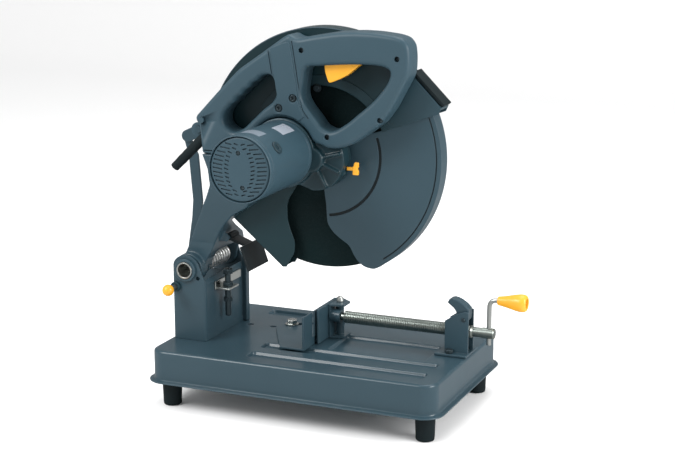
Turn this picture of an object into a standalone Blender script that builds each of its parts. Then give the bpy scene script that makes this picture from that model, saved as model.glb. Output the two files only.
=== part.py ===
"""Abrasive chop saw: pressed base tray with vise, pivoting head with geared motor, wheel and guards.

Frame: metres, +Z up. The saw is built with X = 0, Y = 0 at the middle of the base and Z = 0 at
the underside of the feet; the last step moves the origin under the front near foot.
+X (front) runs from the pivot end to the vise crank, -Y (near) is the motor side.
Sizes below are in millimetres and degrees; meshes are scaled by TO_METRES as they are made.
"""
import math

import bmesh
import bpy
from mathutils import Matrix, Vector

TO_METRES = 0.001

# ---- driving dimensions ----
GAP = 0.3  # clearance between parts that rest on each other
FIT = 0.1  # radial clearance of the pivot shaft
CIRCLE = 28  # default sides of a round part
SPAN_STEPS = 2  # curve steps between two points of a smoothed outline
SMOOTH_ANGLE = 32

BASE_LENGTH, BASE_WIDTH, BASE_TOP = 472.0, 304.0, 94.0
BASE_RIM_Z, BASE_LIP, BASE_CORNER_R, SHEET = 43.0, 8.0, 25.0, 2.0
SEAT_Z = BASE_TOP + GAP  # underside of what stands on the tray
FOOT_X, FOOT_Y, FOOT_R_TOP, FOOT_R_BOTTOM = 212.0, 121.0, 16.0, 14.2

PIVOT_X, PIVOT_Z = -206.0, 208.0
COLUMN_REAR, COLUMN_FRONT, COLUMN_NEAR, COLUMN_FAR = -230.0, -172.0, -80.0, 63.0
COLUMN_WALL = 3.0
SHAFT_R, SHAFT_BORE, SHAFT_FAR_R = 13.4, 11.0, 8.5

WHEEL_X, WHEEL_Y, WHEEL_Z = 15.0, -30.0, 402.0
WHEEL_R, WHEEL_THICK, ARBOR_R = 177.5, 3.2, 12.7
GUARD_R, GUARD_SHEET = 190.0, 1.5
MOTOR_X, MOTOR_Z, MOTOR_R = -32.0, 409.0, 50.0
MOTOR_NEAR, MOTOR_FAR = -226.0, -92.3
HEAD_NEAR, HEAD_FAR = -92.0, -50.0
HEAD_SPLIT = (HEAD_NEAR + HEAD_FAR) / 2
CASE_NEAR, CASE_MID, CASE_FAR = -80.0, -70.7, -57.0
GEAR_TEETH, PINION_TEETH = 44, 10
GEAR_NEAR, GEAR_FAR = -68.2, -59.2
MOTOR_SHAFT_HOLE = 5.1  # bore of what sits on the rotor shaft

FENCE_X, FENCE_NEAR, FENCE_FAR, FENCE_TOP = -9.0, -67.0, 98.0, 148.0
JAW_X, JAW_NEAR, JAW_FAR = -5.0, -26.5, 64.0
SCREW_Y, SCREW_Z, SCREW_R = 20.0, 130.5, 9.8
GRIP_Z = 184.0

# places on an axis: (X, Z) for axes along Y, (X, Y) along Z, (Y, Z) along X
PIVOT, WHEEL, MOTOR = (PIVOT_X, PIVOT_Z), (WHEEL_X, WHEEL_Z), (MOTOR_X, MOTOR_Z)
LOCK_PIN_AT, LINK_AT = (-223, 180), (-238.0, 214.0)
LEVER_AT, BOSS_AT = (-184.0, 432.0), (-240.0, 407.0)
DEFLECTOR_AT, HALF_NUT_AT = (-150.0, 258.0), (226, 151)
STOP_BOLT_AT, FENCE_BOLT_AT, JAW_PIN_AT = (-158, -29), (-82, 49), (9.5, 34)
FENCE_TURN_AT = (FENCE_X, WHEEL_Y)
NUT_BOLTS_AT = ((206, -1), (206, 41))
SCREW = (SCREW_Y, SCREW_Z)

for old in list(bpy.data.objects):
    bpy.data.objects.remove(old, do_unlink=True)


# ---- materials ----
def material(name, colour, roughness, metallic=0.0):
    made = bpy.data.materials.new(name)
    made.use_nodes = True
    shader = made.node_tree.nodes["Principled BSDF"]
    shader.inputs["Base Color"].default_value = (*colour, 1.0)
    shader.inputs["Roughness"].default_value = roughness
    shader.inputs["Metallic"].default_value = metallic
    made.diffuse_color = (*colour, 1.0)
    return made


def metal(name, colour, roughness):
    return material(name, colour, roughness, metallic=1.0)


SLATE = material("slate_paint", colour=(0.097, 0.147, 0.190), roughness=0.38)
SLATE_MOULD = material("slate_moulded_plastic", colour=(0.100, 0.150, 0.195), roughness=0.48)
SLATE_DARK = material("dark_slate_paint", colour=(0.045, 0.085, 0.100), roughness=0.40)
YELLOW = material("yellow_plastic", colour=(0.90, 0.42, 0.03), roughness=0.40)
RUBBER = material("black_rubber", colour=(0.012, 0.013, 0.014), roughness=0.75)
ZINC = metal("zinc_plated_steel", colour=(0.55, 0.56, 0.55), roughness=0.35)
STEEL = metal("turned_steel", colour=(0.50, 0.50, 0.50), roughness=0.30)
GEAR_STEEL = metal("hardened_gear_steel", colour=(0.30, 0.30, 0.31), roughness=0.35)
BRONZE = metal("bronze", colour=(0.50, 0.32, 0.14), roughness=0.35)
COPPER = metal("copper", colour=(0.80, 0.36, 0.20), roughness=0.30)
LAMINATION = metal("laminated_iron", colour=(0.22, 0.22, 0.23), roughness=0.50)
ABRASIVE = material("bonded_abrasive", colour=(0.015, 0.028, 0.028), roughness=0.90)
BLACK_PAINT = material("black_paint", colour=(0.015, 0.018, 0.020), roughness=0.45)
BLACK_PLASTIC = material("black_plastic", colour=(0.020, 0.021, 0.023), roughness=0.50)
CARBON = material("carbon", colour=(0.03, 0.03, 0.03), roughness=0.60)


# ---- outlines: lists of 2D points ----
def polar(centre, radius, degrees):
    angle = math.radians(degrees)
    return (centre[0] + radius * math.cos(angle), centre[1] + radius * math.sin(angle))


def arc(centre, radius, start, end, steps):
    return [polar(centre, radius, start + (end - start) * k / steps) for k in range(steps + 1)]


def rounded(x0, x1, y0, y1, radius, steps):
    """A rectangle with round corners."""
    out = []
    for x, y, start in (
        (x1 - radius, y0 + radius, -90), (x1 - radius, y1 - radius, 0),
        (x0 + radius, y1 - radius, 90), (x0 + radius, y0 + radius, 180),
    ):
        out += arc((x, y), radius, start, start + 90, steps)
    return out


def spoke(centre, degrees, points):
    """Points given as (distance outwards, distance across), turned about a centre."""
    cos, sin = math.cos(math.radians(degrees)), math.sin(math.radians(degrees))
    return [(centre[0] + along * cos - across * sin, centre[1] + along * sin + across * cos)
            for along, across in points]


def bar(start, end, start_r, end_r):
    """A flat bar with round ends between two points."""
    angle = math.degrees(math.atan2(end[1] - start[1], end[0] - start[0]))
    return (arc(start, start_r, angle + 90, angle + 270, 8)
            + arc(end, end_r, angle - 90, angle + 90, 8))


def grown(points, distance):
    """A closed outline moved outwards along its corner normals."""
    count = len(points)
    area = sum(points[i][0] * points[(i + 1) % count][1] - points[(i + 1) % count][0] * points[i][1]
               for i in range(count))
    sign = 1.0 if area > 0 else -1.0
    out = []
    for i in range(count):
        before, here, after = (Vector(points[(i + k - 1) % count]) for k in range(3))
        normals = [Vector((edge.y, -edge.x)).normalized() * sign
                   for edge in (here - before, after - here)]
        mitre = normals[0] + normals[1]
        mitre = mitre / max(mitre.length_squared / 2, 0.5)
        out.append((here.x + mitre.x * distance, here.y + mitre.y * distance))
    return out


def catmull_rom(before, start, end, after):
    """Curve points from start up to, but not including, end."""
    out = []
    for k in range(SPAN_STEPS):
        t = k / SPAN_STEPS
        point = 0.5 * (
            (2 * start) + (end - before) * t
            + (2 * before - 5 * start + 4 * end - after) * t * t
            + (3 * start - before - 3 * end + after) * t ** 3
        )
        out.append((point[0], point[1]))
    return out


def smooth_closed(points):
    count, out = len(points), []
    for i in range(count):
        out += catmull_rom(*(Vector(points[(i + k - 1) % count]) for k in range(4)))
    return out


def smooth_open(points):
    known = [Vector(p) for p in points]
    known = [known[0] * 2 - known[1]] + known + [known[-1] * 2 - known[-2]]
    out = []
    for i in range(1, len(known) - 2):
        out += catmull_rom(*known[i - 1 : i + 3])
    out.append(tuple(points[-1]))
    return out


# ---- shapes: each returns a bmesh in millimetres ----
def ring_of(mesh, points):
    return [mesh.verts.new(p) for p in points]


def bridge(mesh, rings):
    """Joins each ring of vertices to the next with quads."""
    for first, second in zip(rings, rings[1:]):
        for i in range(len(first)):
            j = (i + 1) % len(first)
            mesh.faces.new((first[i], first[j], second[j], second[i]))


def fix_normals(mesh):
    bmesh.ops.recalc_face_normals(mesh, faces=mesh.faces)
    return mesh


def bevel_edges(mesh, edges, width, segments=1):
    bmesh.ops.bevel(
        mesh, geom=list(edges), offset=width, offset_type="OFFSET", segments=segments,
        profile=0.5, affect="EDGES", clamp_overlap=True,
    )


def loft(rings):
    """Rings of equal point count joined in order, with both ends closed."""
    mesh = bmesh.new()
    made = [ring_of(mesh, ring) for ring in rings]
    mesh.faces.new(made[0])
    mesh.faces.new(made[-1])
    bridge(mesh, made)
    return fix_normals(mesh)


def prism(points, plane, low, high, bevel=0.0, bevel_at="both", segments=1):
    """An outline in plane XZ, XY or YZ, drawn out from low to high along the third axis."""
    place = {
        "XZ": lambda p, t: (p[0], t, p[1]),
        "XY": lambda p, t: (p[0], p[1], t),
        "YZ": lambda p, t: (t, p[0], p[1]),
    }[plane]
    mesh = bmesh.new()
    rings = [ring_of(mesh, [place(p, level) for p in points]) for level in (low, high)]
    bottom, top = mesh.faces.new(rings[0]), mesh.faces.new(rings[1])
    bridge(mesh, rings)
    fix_normals(mesh)
    if bevel:
        chosen = {"lo": [bottom], "hi": [top], "both": [bottom, top]}[bevel_at]
        bevel_edges(mesh, {e for face in chosen for e in face.edges}, bevel, segments)
    return mesh


def box(x0, x1, y0, y1, z0, z1, bevel=0.0):
    mesh = prism([(x0, y0), (x1, y0), (x1, y1), (x0, y1)], "XY", z0, z1)
    if bevel:
        bevel_edges(mesh, mesh.edges, bevel)
    return mesh


def turned(profile, axis, centre, sides=CIRCLE, closed=False):
    """A profile of (radius, position along the axis) spun about an axis through centre."""
    mesh = bmesh.new()
    rings = []
    for radius, t in profile:
        ring = []
        for i in range(1 if radius < 1e-6 else sides):
            angle = 2 * math.pi * i / sides
            u, v = centre[0] + radius * math.cos(angle), centre[1] + radius * math.sin(angle)
            ring.append(mesh.verts.new({"X": (t, u, v), "Y": (u, t, v), "Z": (u, v, t)}[axis]))
        rings.append(ring)
    pairs = list(zip(rings, rings[1:]))
    if closed:
        pairs.append((rings[-1], rings[0]))
    for first, second in pairs:
        for i in range(sides):
            j = (i + 1) % sides
            face = [first[i % len(first)], first[j % len(first)],
                    second[j % len(second)], second[i % len(second)]]
            # a point on the axis appears twice in its face
            face = [v for k, v in enumerate(face) if v not in face[:k]]
            if len(face) > 2:
                mesh.faces.new(face)
    return fix_normals(mesh)


def rod(axis, centre, radius, low, high, sides=CIRCLE, chamfer=0.0):
    if chamfer:
        profile = [(0, low), (radius - chamfer, low), (radius, low + chamfer),
                   (radius, high - chamfer), (radius - chamfer, high), (0, high)]
    else:
        profile = [(0, low), (radius, low), (radius, high), (0, high)]
    return turned(profile, axis, centre, sides)


def tube(centre, outer_r, inner_r, near, far, sides):
    """A plain ring about the Y axis."""
    profile = [(inner_r, near), (outer_r, near), (outer_r, far), (inner_r, far)]
    return turned(profile, "Y", centre, sides, closed=True)


def swept(path, radius, sides):
    """A round wire along a path, with flat ends."""
    points = [Vector(p) for p in path]
    side = None
    rings = []
    for i, point in enumerate(points):
        ahead, behind = points[min(i + 1, len(points) - 1)], points[max(i - 1, 0)]
        tangent = (ahead - behind).normalized()
        if side is None:
            side = tangent.orthogonal().normalized()
        side = (side - tangent * side.dot(tangent)).normalized()
        other = tangent.cross(side)
        angles = [2 * math.pi * k / sides for k in range(sides)]
        rings.append([point + (side * math.cos(a) + other * math.sin(a)) * radius for a in angles])
    return loft(rings)


# ---- objects ----
def part(name, mesh, mat, origin=(0.0, 0.0, 0.0)):
    """Makes the object, with its origin at the point given in millimetres."""
    mesh.transform(Matrix.Translation(-Vector(origin)))
    mesh.transform(Matrix.Scale(TO_METRES, 4))
    data = bpy.data.meshes.new(name)
    mesh.to_mesh(data)
    mesh.free()
    data.materials.append(mat)
    data.shade_smooth()
    data.set_sharp_from_angle(angle=math.radians(SMOOTH_ANGLE))
    obj = bpy.data.objects.new(name, data)
    bpy.context.scene.collection.objects.link(obj)
    obj.location = Vector(origin) * TO_METRES
    return obj


def world_location(obj):
    """Sum of the locations up the parent chain: nothing here is turned or scaled."""
    total = Vector((0, 0, 0))
    while obj:
        total += obj.location
        obj = obj.parent
    return total


def pivot(name, at, parent=None):
    empty = bpy.data.objects.new(name, None)
    bpy.context.scene.collection.objects.link(empty)
    empty.empty_display_size = 0.03
    empty.location = Vector(at) * TO_METRES - world_location(parent)
    empty.parent = parent
    return empty


def ride(obj, parent):
    """Hangs an object on an empty and keeps its place."""
    here = obj.location.copy()
    obj.parent = parent
    obj.location = here - world_location(parent)
    return obj


def boolean(obj, mesh, operation):
    suffix = f"{operation.lower()}_{len(obj.modifiers)}"
    tool = part(f"{obj.name}_{suffix}", mesh, BLACK_PLASTIC)
    tool.hide_render = True
    tool.display_type = "WIRE"
    tool.parent = obj
    tool.location = -(world_location(obj))
    modifier = obj.modifiers.new(suffix, "BOOLEAN")
    modifier.operation = operation
    modifier.object = tool


def cut(obj, *meshes):
    for mesh in meshes:
        boolean(obj, mesh, "DIFFERENCE")
    return obj


def add(obj, *meshes):
    for mesh in meshes:
        boolean(obj, mesh, "UNION")
    return obj


# =============================== base ===============================
# (offset outwards from the base outline, Z)
TRAY_OUTSIDE = (
    (BASE_LIP, BASE_RIM_Z), (BASE_LIP, BASE_RIM_Z + SHEET), (0, BASE_RIM_Z + 4.0),
    (0, BASE_TOP - 3.5), (-1.0, BASE_TOP - 1.0), (-3.5, BASE_TOP),
)
TRAY_INSIDE = (
    (-SHEET, BASE_RIM_Z), (-SHEET, BASE_TOP - 5.0), (-SHEET - 3.0, BASE_TOP - SHEET),
)
# x0, x1, y0, y1 of the floor of each pressed groove
GROOVES = ((22, 178, -40, 38), (-80, 205, -70, -49), (-80, 205, -120, -98), (-150, 205, 104, 126))
GROOVE_WALL = 3
SLOTS_AT = ((-151, 36), (-111, 38))


def base_ring(offset, z):
    half_x, half_y = BASE_LENGTH / 2 + offset, BASE_WIDTH / 2 + offset
    outline = rounded(-half_x, half_x, -half_y, half_y, BASE_CORNER_R + offset, 5)
    return [(x, y, z) for x, y in outline]


def tray_shell():
    mesh = bmesh.new()
    outer = [ring_of(mesh, base_ring(*station)) for station in TRAY_OUTSIDE]
    inner = [ring_of(mesh, base_ring(*station)) for station in TRAY_INSIDE]
    mesh.faces.new(outer[-1])
    mesh.faces.new(inner[-1])
    bridge(mesh, outer)
    bridge(mesh, inner)
    bridge(mesh, [outer[0], inner[0]])
    return fix_normals(mesh)


def corner_pad(side_x, side_y):
    """The plate over a foot, with its outer corner cut off."""
    chop = BASE_CORNER_R * 0.55
    x_in, x_out = side_x * (FOOT_X - 22), side_x * (BASE_LENGTH / 2 - 1.0)
    y_in, y_out = side_y * (FOOT_Y - 22), side_y * (BASE_WIDTH / 2 - 1.0)
    points = [(x_in, y_in), (x_out, y_in), (x_in, y_out),
              (x_out - side_x * chop, y_out), (x_out, y_out - side_y * chop)]
    middle = [sum(values) / len(points) for values in zip(*points)]
    points.sort(key=lambda p: math.atan2(p[1] - middle[1], p[0] - middle[0]))
    return prism(points, "XY", BASE_RIM_Z, BASE_RIM_Z + 3.0)


def groove(x0, x1, y0, y1, top, bottom, spread, radius):
    """A rounded block whose top is larger than its floor by spread on each side."""
    low = rounded(x0, x1, y0, y1, radius, 3)
    high = rounded(x0 - spread, x1 + spread, y0 - spread, y1 + spread, radius + spread, 3)
    return loft([[(x, y, bottom) for x, y in low], [(x, y, top) for x, y in high]])


def make_tray():
    tray = part("base_tray", tray_shell(), SLATE)
    for side_x in (-1, 1):
        for side_y in (-1, 1):
            add(tray, corner_pad(side_x, side_y))
    wall = GROOVE_WALL
    for x0, x1, y0, y1 in GROOVES:
        add(tray, groove(x0 - wall, x1 + wall, y0 - wall, y1 + wall,
                         BASE_TOP - 1.0, BASE_TOP - 6.5, 0.0, 7.0))
    for floor in GROOVES:
        cut(tray, groove(*floor, BASE_TOP + 1.0, BASE_TOP - 4.5, 2.5, 4.0))
    hole = (BASE_TOP - 5, BASE_TOP + 3)
    for x, y in SLOTS_AT:
        cut(tray, prism(rounded(x - 6, x + 6, y - 4, y + 4, 3.9, 4), "XY", *hole))
    cut(tray, rod("Z", FENCE_BOLT_AT, 5.3, *hole, 16))
    for place in NUT_BOLTS_AT:
        cut(tray, rod("Z", place, 4.3, *hole, 12))


def make_feet():
    top = BASE_RIM_Z - GAP
    profile = [(0, 0), (FOOT_R_BOTTOM - 1.5, 0), (FOOT_R_BOTTOM, 1.5), (FOOT_R_TOP, top), (0, top)]
    for end, side_x in (("front", 1), ("rear", -1)):
        for side, side_y in (("near", -1), ("far", 1)):
            place = (side_x * FOOT_X, side_y * FOOT_Y)
            part(f"foot_{end}_{side}", turned(profile, "Z", place, 20), RUBBER)


make_tray()
make_feet()

# =============================== pivot column ===============================
# (radius, Y)
SHAFT = [
    (SHAFT_BORE, -86.0), (SHAFT_R, -86.0), (SHAFT_R, -31.5), (SHAFT_FAR_R, -31.5),
    (SHAFT_FAR_R, 67.0), (5.0, 67.0), (5.0, -40.0), (SHAFT_BORE, -40.0),
]
COIL_TURNS, COIL_STEPS, COIL_R, WIRE_R, COIL_NEAR, COIL_FAR = 8, 10, 13.0, 2.2, -27.0, 48.0
COIL_END = 12.0  # length of the straight wire at each end
LOCK_PIN = [(0, -102), (3.8, -102), (3.8, -66), (2.4, -63), (0, -63)]
KNOB_R, KNOB_Y = 9.2, -107.5


def make_column():
    bore = rounded(COLUMN_REAR - 20, COLUMN_FRONT - COLUMN_WALL,
                   COLUMN_NEAR + COLUMN_WALL, COLUMN_FAR - COLUMN_WALL, 2.5, 3)
    outside = rounded(COLUMN_REAR, COLUMN_FRONT, COLUMN_NEAR, COLUMN_FAR, 5.0, 3)
    column = part("pivot_column", prism(outside, "XY", SEAT_Z, PIVOT_Z + 26), SLATE)
    cut(column, prism(bore, "XY", SEAT_Z + COLUMN_WALL, PIVOT_Z + 30))
    # the side walls are rounded over the pivot and drop towards the front
    above = [(COLUMN_REAR - 10, PIVOT_Z + 40), (COLUMN_REAR - 10, PIVOT_Z)]
    above += arc(PIVOT, 24.0, 180, 12, 12)
    above += [(COLUMN_FRONT + 0.5, 186), (COLUMN_FRONT + 10, 186),
              (COLUMN_FRONT + 10, PIVOT_Z + 40)]
    near, far = COLUMN_NEAR, COLUMN_FAR
    cut(
        column,
        prism(above, "XZ", near - 10, far + 10),
        rod("Y", PIVOT, SHAFT_R + FIT, near - 5, 0, 32),
        rod("Y", PIVOT, SHAFT_FAR_R + FIT, 0, far + 5, 24),
        rod("Y", LOCK_PIN_AT, 4.1, near - 5, near + 8, 16),
        rod("Y", (-185, 196), 3.6, near - 5, near + 8, 12),
    )
    link_ear = arc((-225.5, 203), 9.5, -90, 60, 4) + arc(LINK_AT, 9.5, 60, 240, 8)
    add(column, prism(link_ear, "XZ", far - COLUMN_WALL, far))
    cut(column, rod("Y", LINK_AT, 5.1, far - 8, far + 5, 16))
    # upright rib on the front face, with a groove beside it
    add(column, box(COLUMN_FRONT - 2.5, -165.0, 50.5, 62.5, SEAT_Z, 203, 0.8))
    cut(column, box(COLUMN_FRONT - 1.2, COLUMN_FRONT + 2, 48.0, 50.2, SEAT_Z + 8, 190))


def make_return_spring():
    start_x, count = PIVOT_X + COIL_R, COIL_TURNS * COIL_STEPS
    path = [(start_x, COIL_NEAR, PIVOT_Z + COIL_END)]
    for k in range(count + 1):
        angle = 2 * math.pi * k / COIL_STEPS
        path.append((PIVOT_X + COIL_R * math.cos(angle),
                     COIL_NEAR + (COIL_FAR - COIL_NEAR) * k / count,
                     PIVOT_Z - COIL_R * math.sin(angle)))
    path.append((start_x, COIL_FAR, PIVOT_Z - COIL_END))
    part("return_spring", swept(path, WIRE_R, 5), STEEL)


def make_stop():
    back = COLUMN_FRONT + GAP
    bracket = part("stop_bracket", box(back, COLUMN_FRONT + 2.8, -50, 40, 172, 185, 0.6), ZINC)
    add(bracket, box(back, -147, -46, -12, 172, 175, 0.6))
    cut(bracket, rod("Z", STOP_BOLT_AT, 4.9, 168, 180, 16))
    origin = (*STOP_BOLT_AT, 175)
    slide = pivot("stop_bolt_slide", origin)
    bolt = part("stop_bolt", rod("Z", STOP_BOLT_AT, 4.8, 126, 196, 16, 0.8), ZINC, origin)
    add(bolt, rod("Z", STOP_BOLT_AT, 8.6, 195, 203, 6, 0.8))
    ride(bolt, slide)


def make_lock_pin():
    origin = (LOCK_PIN_AT[0], COLUMN_NEAR, LOCK_PIN_AT[1])
    slide = pivot("lock_pin_slide", origin)
    ride(part("lock_pin", turned(LOCK_PIN, "Y", LOCK_PIN_AT, 16), ZINC, origin), slide)
    ball = [(KNOB_R * math.sin(math.pi * k / 8), KNOB_Y - KNOB_R * math.cos(math.pi * k / 8))
            for k in range(9)]
    knob = part("lock_pin_knob", turned(ball, "Y", LOCK_PIN_AT, 16), YELLOW, origin)
    cut(knob, rod("Y", LOCK_PIN_AT, 3.9, -102.3, -90, 16))
    ride(knob, slide)


make_column()
part("pivot_shaft", turned(SHAFT, "Y", PIVOT, 32, closed=True), ZINC)
make_return_spring()
make_stop()
make_lock_pin()

# =============================== fence ===============================
FENCE_PLATE_TOP = BASE_TOP + 3.3
FENCE_PLATE = [(-50, FENCE_NEAR), (FENCE_X, FENCE_NEAR), (FENCE_X, FENCE_FAR),
               (-86, FENCE_FAR), (-99, 24)]  # (X, Y)
FENCE_SLOT_HALF = 5.6


def make_fence():
    origin = (*FENCE_TURN_AT, 96)
    swivel = pivot("fence_swivel", origin)
    plate = prism(FENCE_PLATE, "XY", SEAT_Z, FENCE_PLATE_TOP, 0.5, "hi")
    fence = part("fence", plate, SLATE, origin)
    add(fence, box(FENCE_X - 3, FENCE_X - 0.02, FENCE_NEAR + 0.02, 61.0,
                   SEAT_Z + 0.5, FENCE_TOP, 0.5))
    # notch in line with the wheel
    cut(fence, box(FENCE_X - 8, FENCE_X + 5, WHEEL_Y - 4.0, WHEEL_Y + 6.5, 108, FENCE_TOP + 5))
    # curved slot about the swivel, for the bolt
    reach_x, reach_y = FENCE_BOLT_AT[0] - FENCE_X, FENCE_BOLT_AT[1] - WHEEL_Y
    radius, angle = math.hypot(reach_x, reach_y), math.degrees(math.atan2(reach_y, reach_x))
    slot = arc(FENCE_TURN_AT, radius + FENCE_SLOT_HALF, angle + 3, angle - 33, 10)
    slot += arc(FENCE_TURN_AT, radius - FENCE_SLOT_HALF, angle - 33, angle + 3, 10)
    cut(fence, prism(slot, "XY", SEAT_Z - 3, FENCE_PLATE_TOP + 3))
    ride(fence, swivel)


def make_fence_bolt():
    top = FENCE_PLATE_TOP
    bolt = part("fence_bolt", rod("Z", FENCE_BOLT_AT, 5.0, 82, 99, 16, 0.8), ZINC)
    add(bolt, rod("Z", FENCE_BOLT_AT, 11.0, top + GAP, top + 2.3, 20),
        rod("Z", FENCE_BOLT_AT, 8.6, top + 2, top + 9, 6, 0.9))


make_fence()
make_fence_bolt()

# =============================== vise ===============================
CHEEK = [(196, SEAT_Z + 2), (234, SEAT_Z + 2), (234, 163), (228, 164), (214, 159),
         (196, 147)]  # (X, Z)
HALF_NUT_LEVER = [  # (X, Z)
    (198, 175), (201, 180.5), (206, 182), (212, 181), (218, 178.5), (226, 173.5), (232.5, 167),
    (233, 158), (232, 150), (229, 146.5), (222, 144), (221, 136), (205, 136), (205, 146),
    (210.5, 150), (213.5, 156), (212, 162), (208.5, 167), (203, 171.2),
]
JAW_PLATE = 3.2
BRACKET_X = JAW_X + JAW_PLATE + GAP
JAW_SHELF = [(BRACKET_X, 12), (24, 18), (24, 42), (BRACKET_X, 62)]  # (X, Y)
# (radius, Z)
JAW_PIN_HEAD = [(0, 150.4), (5.6, 150.4), (5.6, 153), (4.6, 157), (2.4, 159), (0, 159)]
# (radius, X)
VISE_SCREW = [
    (0, 4.6), (6.0, 4.6), (6.0, 24), (SCREW_R - 1.2, 24), (SCREW_R, 25.5), (SCREW_R, 238),
    (7.5, 240), (7.5, 271), (6.5, 272), (0, 272),
]
CRANK_X, CRANK_BEND_R = 263, 11
# (radius, X)
CRANK_GRIP = [
    (3.75, 276.5), (6.4, 276.5), (7.2, 279), (8.2, 286), (10.6, 296), (13.0, 306),
    (13.8, 313), (13.2, 319), (11.0, 322.5), (7.5, 322.5), (7.0, 314), (3.75, 314),
]


def make_nut_block():
    block = part("nut_block", box(184, 236, -8, 48, SEAT_Z, SEAT_Z + 4, 0.8), SLATE)
    for near, far in ((6, 9), (31, 34)):
        add(block, prism(CHEEK, "XZ", near, far, 0.5))
    web = [(8.5, SEAT_Z + 3), (31.5, SEAT_Z + 3), (31.5, 133), (8.5, 133)]
    add(block, prism(web, "YZ", 197, 203))
    cut(block, rod("X", SCREW, SCREW_R + 0.3, 190, 240, 24), rod("Y", HALF_NUT_AT, 3.1, 0, 40, 16))
    for place in NUT_BOLTS_AT:
        cut(block, rod("Z", place, 4.2, SEAT_Z - 3, SEAT_Z + 8, 12))
    place = NUT_BOLTS_AT[0]
    bolt = part("nut_block_bolt", rod("Z", place, 4.0, 86, 100, 12), ZINC)
    add(bolt, rod("Z", place, 6.6, SEAT_Z + 4.3, SEAT_Z + 10, 6, 0.7))


def make_half_nut():
    part("lever_pin", rod("Y", HALF_NUT_AT, 2.95, 4.4, 35.6, 16, 0.5), STEEL)
    origin = (HALF_NUT_AT[0], SCREW_Y, HALF_NUT_AT[1])
    hinge = pivot("half_nut_hinge", origin)
    hook = prism(HALF_NUT_LEVER, "XZ", 10.8, 29.2, 1.2)
    lever = part("half_nut_lever", hook, SLATE, origin)
    cut(lever, rod("X", SCREW, SCREW_R + 0.4, 190, 240, 24), rod("Y", HALF_NUT_AT, 3.05, 0, 40, 16))
    ride(lever, hinge)


def make_jaw(slide):
    plate = box(JAW_X, JAW_X + JAW_PLATE, JAW_NEAR, JAW_FAR, BASE_TOP + 1.2, 151, 0.6)
    ride(part("jaw_plate", plate, SLATE), slide)
    shelf = prism(JAW_SHELF, "XY", BASE_TOP + 0.8, BASE_TOP + 4, 0.5)
    bracket = part("jaw_bracket", shelf, SLATE)
    add(
        bracket,
        prism(JAW_SHELF, "XY", 147, 150, 0.5),
        box(BRACKET_X, BRACKET_X + 3, 12, 62, BASE_TOP + 2, 149),
        rod("Z", JAW_PIN_AT, 6.4, BASE_TOP + 2, 149, 20),
        box(BRACKET_X + 2, 19, 10.5, 30.5, 120, 141, 1.0),
    )
    cut(bracket, rod("Z", JAW_PIN_AT, 4.2, 84, 155, 16), rod("X", SCREW, 6.15, 4.0, 40, 20))
    ride(bracket, slide)
    pin = part("jaw_pin", rod("Z", JAW_PIN_AT, 4.0, BASE_TOP + 1.5, 153, 16, 0.5), ZINC)
    add(pin, turned(JAW_PIN_HEAD, "Z", JAW_PIN_AT, 16))
    ride(pin, slide)


def make_screw(turn):
    screw = part("vise_screw", turned(VISE_SCREW, "X", SCREW, 24), ZINC)
    cut(screw, rod("Z", (CRANK_X, SCREW_Y), 3.75, SCREW_Z - 15, SCREW_Z + 15, 12))
    ride(screw, turn)


def make_crank(turn):
    bend = arc((CRANK_X + CRANK_BEND_R, GRIP_Z - CRANK_BEND_R), CRANK_BEND_R, 180, 90, 4)
    path = [(x, SCREW_Y, z) for x, z in [(CRANK_X, 112)] + bend + [(319, GRIP_Z)]]
    ride(part("crank_rod", swept(path, 3.6, 12), ZINC), turn)
    origin = (276, SCREW_Y, GRIP_Z)
    grip_turn = pivot("crank_grip_turn", origin, turn)
    grip = turned(CRANK_GRIP, "X", (SCREW_Y, GRIP_Z), 18, closed=True)
    ride(part("crank_grip", grip, YELLOW, origin), grip_turn)


make_nut_block()
make_half_nut()
jaw_slide = pivot("jaw_slide", (JAW_X, SCREW_Y, SCREW_Z))
make_jaw(jaw_slide)
screw_turn = pivot("vise_screw_turn", (0, SCREW_Y, SCREW_Z), jaw_slide)
make_screw(screw_turn)
make_crank(screw_turn)

# =============================== handle and gear case outlines (X, Z) ===============================
HANDLE_TOP = [
    (-176, 446), (-178, 455), (-141, 494), (-104, 531), (-66, 557), (-29, 583), (-20, 588),
    (-6, 581), (17, 586), (57, 593), (89, 595.5), (118, 595), (147, 592), (161, 588),
    (169, 578), (171, 560), (170, 536), (142, 484), (126, 462), (102, 444), (80, 428),
    (58, 421), (40, 421), (30, 426),
]
HANDLE = HANDLE_TOP + arc(MOTOR, 54.0, 22, 192, 18) + [(-100, 398.4), (-167, 398.4), (-171, 416)]
D_HOLE = [
    (8, 539), (32, 543), (77, 547), (111, 548), (131, 546), (140, 540), (139, 529),
    (131, 515), (113, 494), (92, 476), (70, 458), (49, 447), (33, 451), (22, 464),
    (7, 482), (0, 497), (2, 517),
]
CARRY_HOLE = [
    (-48, 523), (-60, 525), (-72, 519), (-81, 512), (-101, 494), (-118, 477), (-130, 461),
    (-129, 446), (-115, 436), (-98, 441), (-81, 456), (-64, 472), (-47, 486), (-41, 502),
]
GEAR_CASE = arc(WHEEL, 49.0, -92, 70, 14) + arc(MOTOR, 40.0, 70, 268, 8)

# =============================== head: arm casting ===============================
HEAD_ORIGIN = (PIVOT_X, 0, PIVOT_Z)
head = pivot("head_swing", HEAD_ORIGIN)


def head_part(name, mesh, mat):
    return ride(part(name, mesh, mat, HEAD_ORIGIN), head)


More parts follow.
